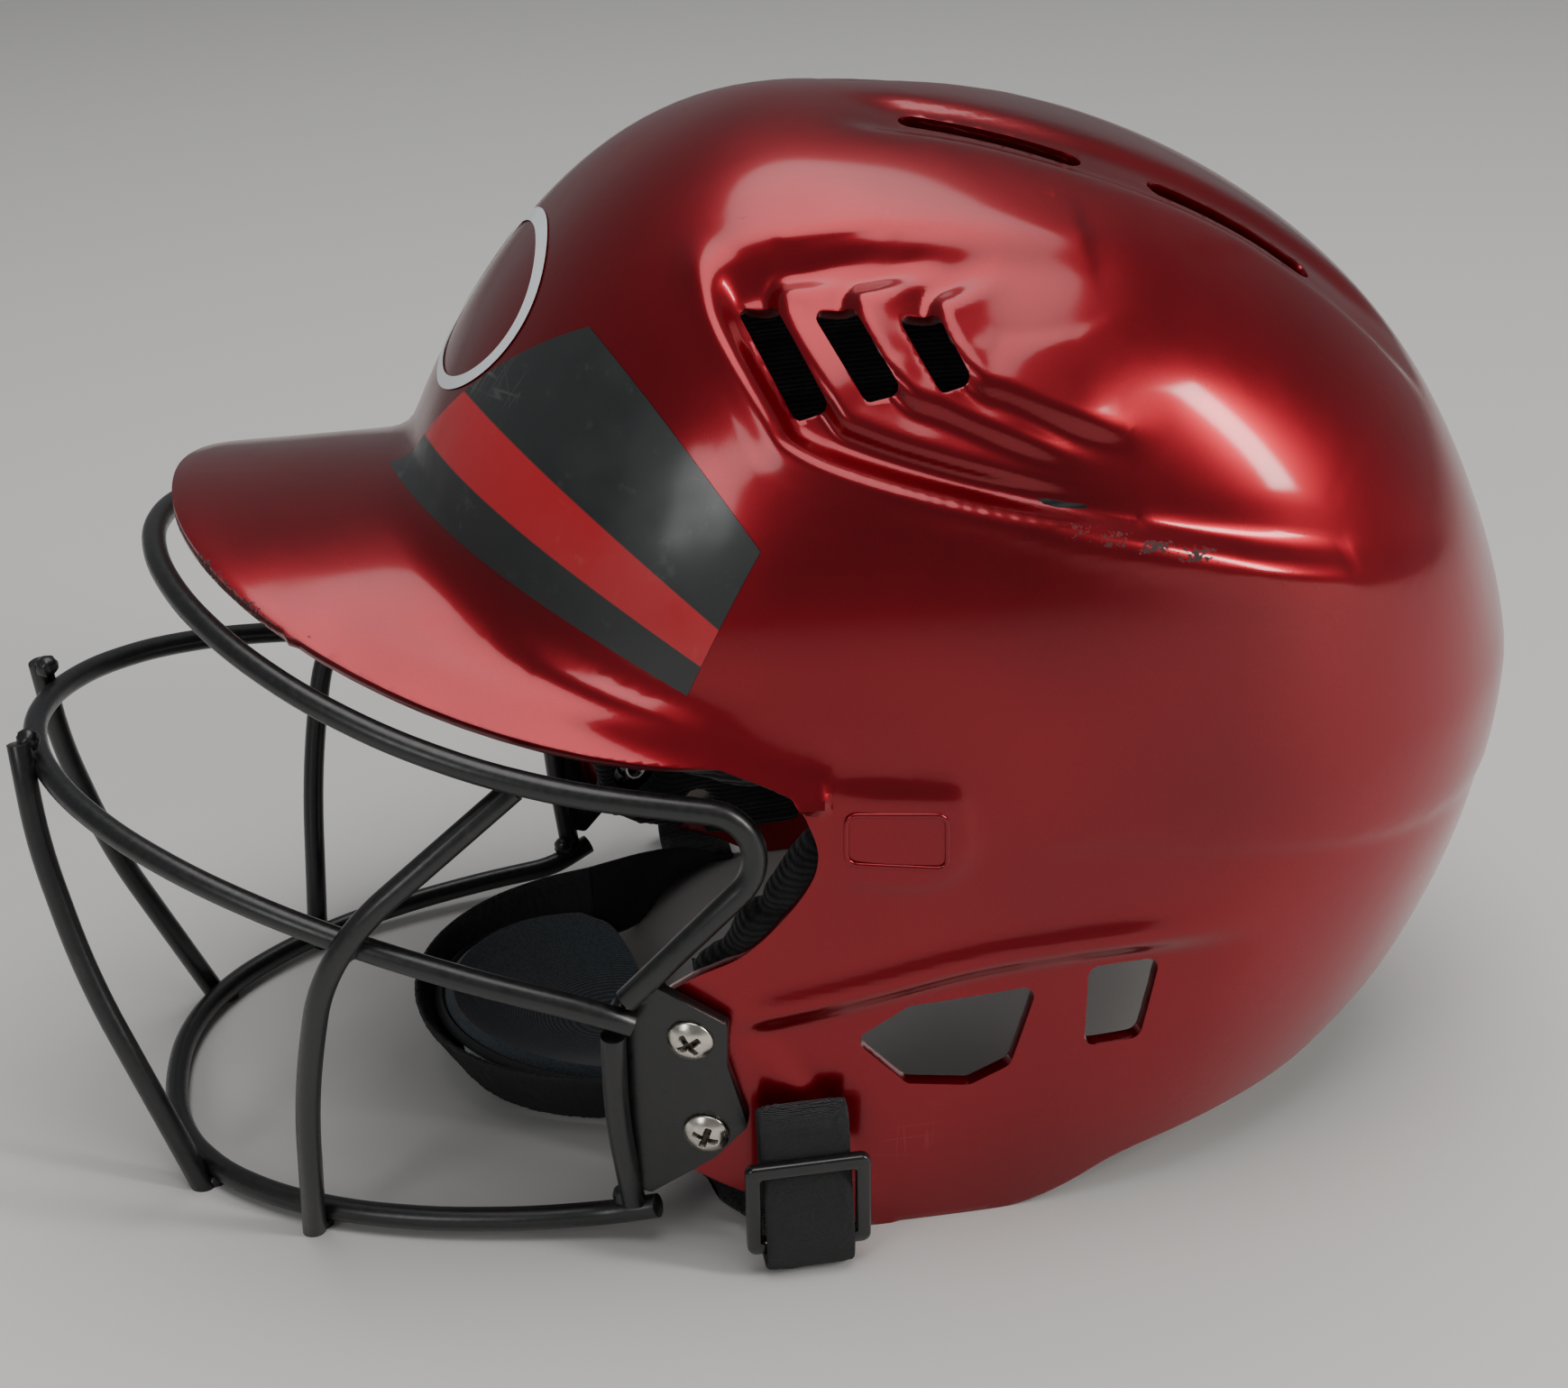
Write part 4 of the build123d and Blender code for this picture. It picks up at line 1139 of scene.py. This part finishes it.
def frameBeadMesh(sign):
    path = beadPath() + beadPath()[:1]
    spots = ontoDome(np.array([(0.0, *p) for p in path]), (1, 0, 0))
    spots[:, 0] += detail["boss"]
    last = len(spots) - 1

    def place(u, v):
        k = min(int(round(u * last)), last)
        here = Vector(spots[k])
        heading = (Vector(spots[(k + 1) % last]) - Vector(spots[(k - 1) % last])).normalized()
        outward = Vector((1, 0, 0))
        level = heading.cross(outward).normalized()
        turn = 2 * pi * v
        return here + level * cos(turn) * frameBead["bead"] + outward * sin(turn) * frameBead["bead"] * 0.8

    bm = sheetMesh(last, 10, place)
    bmesh.ops.remove_doubles(bm, verts=bm.verts, dist=1e-3)
    if sign < 0:
        bmesh.ops.scale(bm, verts=bm.verts, vec=(-1, 1, 1))
    bmesh.ops.recalc_face_normals(bm, faces=bm.faces)
    return bm


for side, sign in sides.items():
    makePiece(frameBeadMesh(sign), "bossFrame" + side.capitalize(), red)
print("sticker, ring and boss frames made")

view = {"azimuth": 82.17, "elevation": 24.36, "roll": -2.67, "lens": 60.0,
        "place": (0.5481, -0.07146, 0.33728)}
# Each lamp: its shape, place, target, size in metres, power in watts and colour.
lamps = {
    "keyWindow": ("RECTANGLE", (0.75, 1.15, 0.75), (0, 0.08, 0.12), (0.16, 0.7), 11, (1.0, 0.98, 0.95)),
    "topSoft": ("ELLIPSE", (0.0, 0.1, 1.8), (0, 0, 0.1), (2.2, 1.5), 26, (1, 1, 1)),
    "sideSoft": ("RECTANGLE", (1.3, -1.2, 0.9), (0, 0, 0.1), (0.5, 0.7), 5, (1, 1, 1)),
}


def aimCamera():
    az, el, roll = (radians(view[key]) for key in ("azimuth", "elevation", "roll"))
    back = Vector((sin(az) * cos(el), -cos(az) * cos(el), sin(el)))
    right = (-back).cross(Vector((0, 0, 1))).normalized()
    up = right.cross(-back)
    across = cos(roll) * right + sin(roll) * up
    upward = -sin(roll) * right + cos(roll) * up
    data = bpy.data.cameras.new("camera")
    data.lens, data.sensor_width = view["lens"], 36.0
    data.clip_start = 0.01
    camera = bpy.data.objects.new("camera", data)
    camera.matrix_world = Matrix((across, upward, back)).transposed().to_4x4()
    camera.location = view["place"]
    link(camera)
    bpy.context.scene.camera = camera


def addLamp(name, shape, place, target, size, power, colour):
    data = bpy.data.lights.new(name, "AREA")
    data.shape, data.size, data.size_y = shape, *size
    data.energy, data.color = power, colour
    lamp = bpy.data.objects.new(name, data)
    lamp.location = place
    lamp.rotation_euler = (Vector(target) - Vector(place)).to_track_quat("-Z", "Y").to_euler()
    link(lamp)


def makeStage():
    bm = bmesh.new()
    bmesh.ops.create_grid(bm, x_segments=1, y_segments=1, size=6.0)
    mesh = bpy.data.meshes.new("floor")
    bm.to_mesh(mesh)
    bm.free()
    floor = bpy.data.objects.new("floor", mesh)
    link(floor)
    mesh.materials.append(newMaterial("paleFloor", Base_Color=(0.66, 0.65, 0.63, 1), Roughness=0.7)[0])
    world = bpy.data.worlds.new("world")
    world.use_nodes = True
    sky = world.node_tree.nodes["Background"]
    sky.inputs["Color"].default_value = (0.82, 0.84, 0.86, 1)
    sky.inputs["Strength"].default_value = 0.22
    bpy.context.scene.world = world


makeStage()
aimCamera()
for name, lamp in lamps.items():
    addLamp(name, *lamp)
print("stage made")
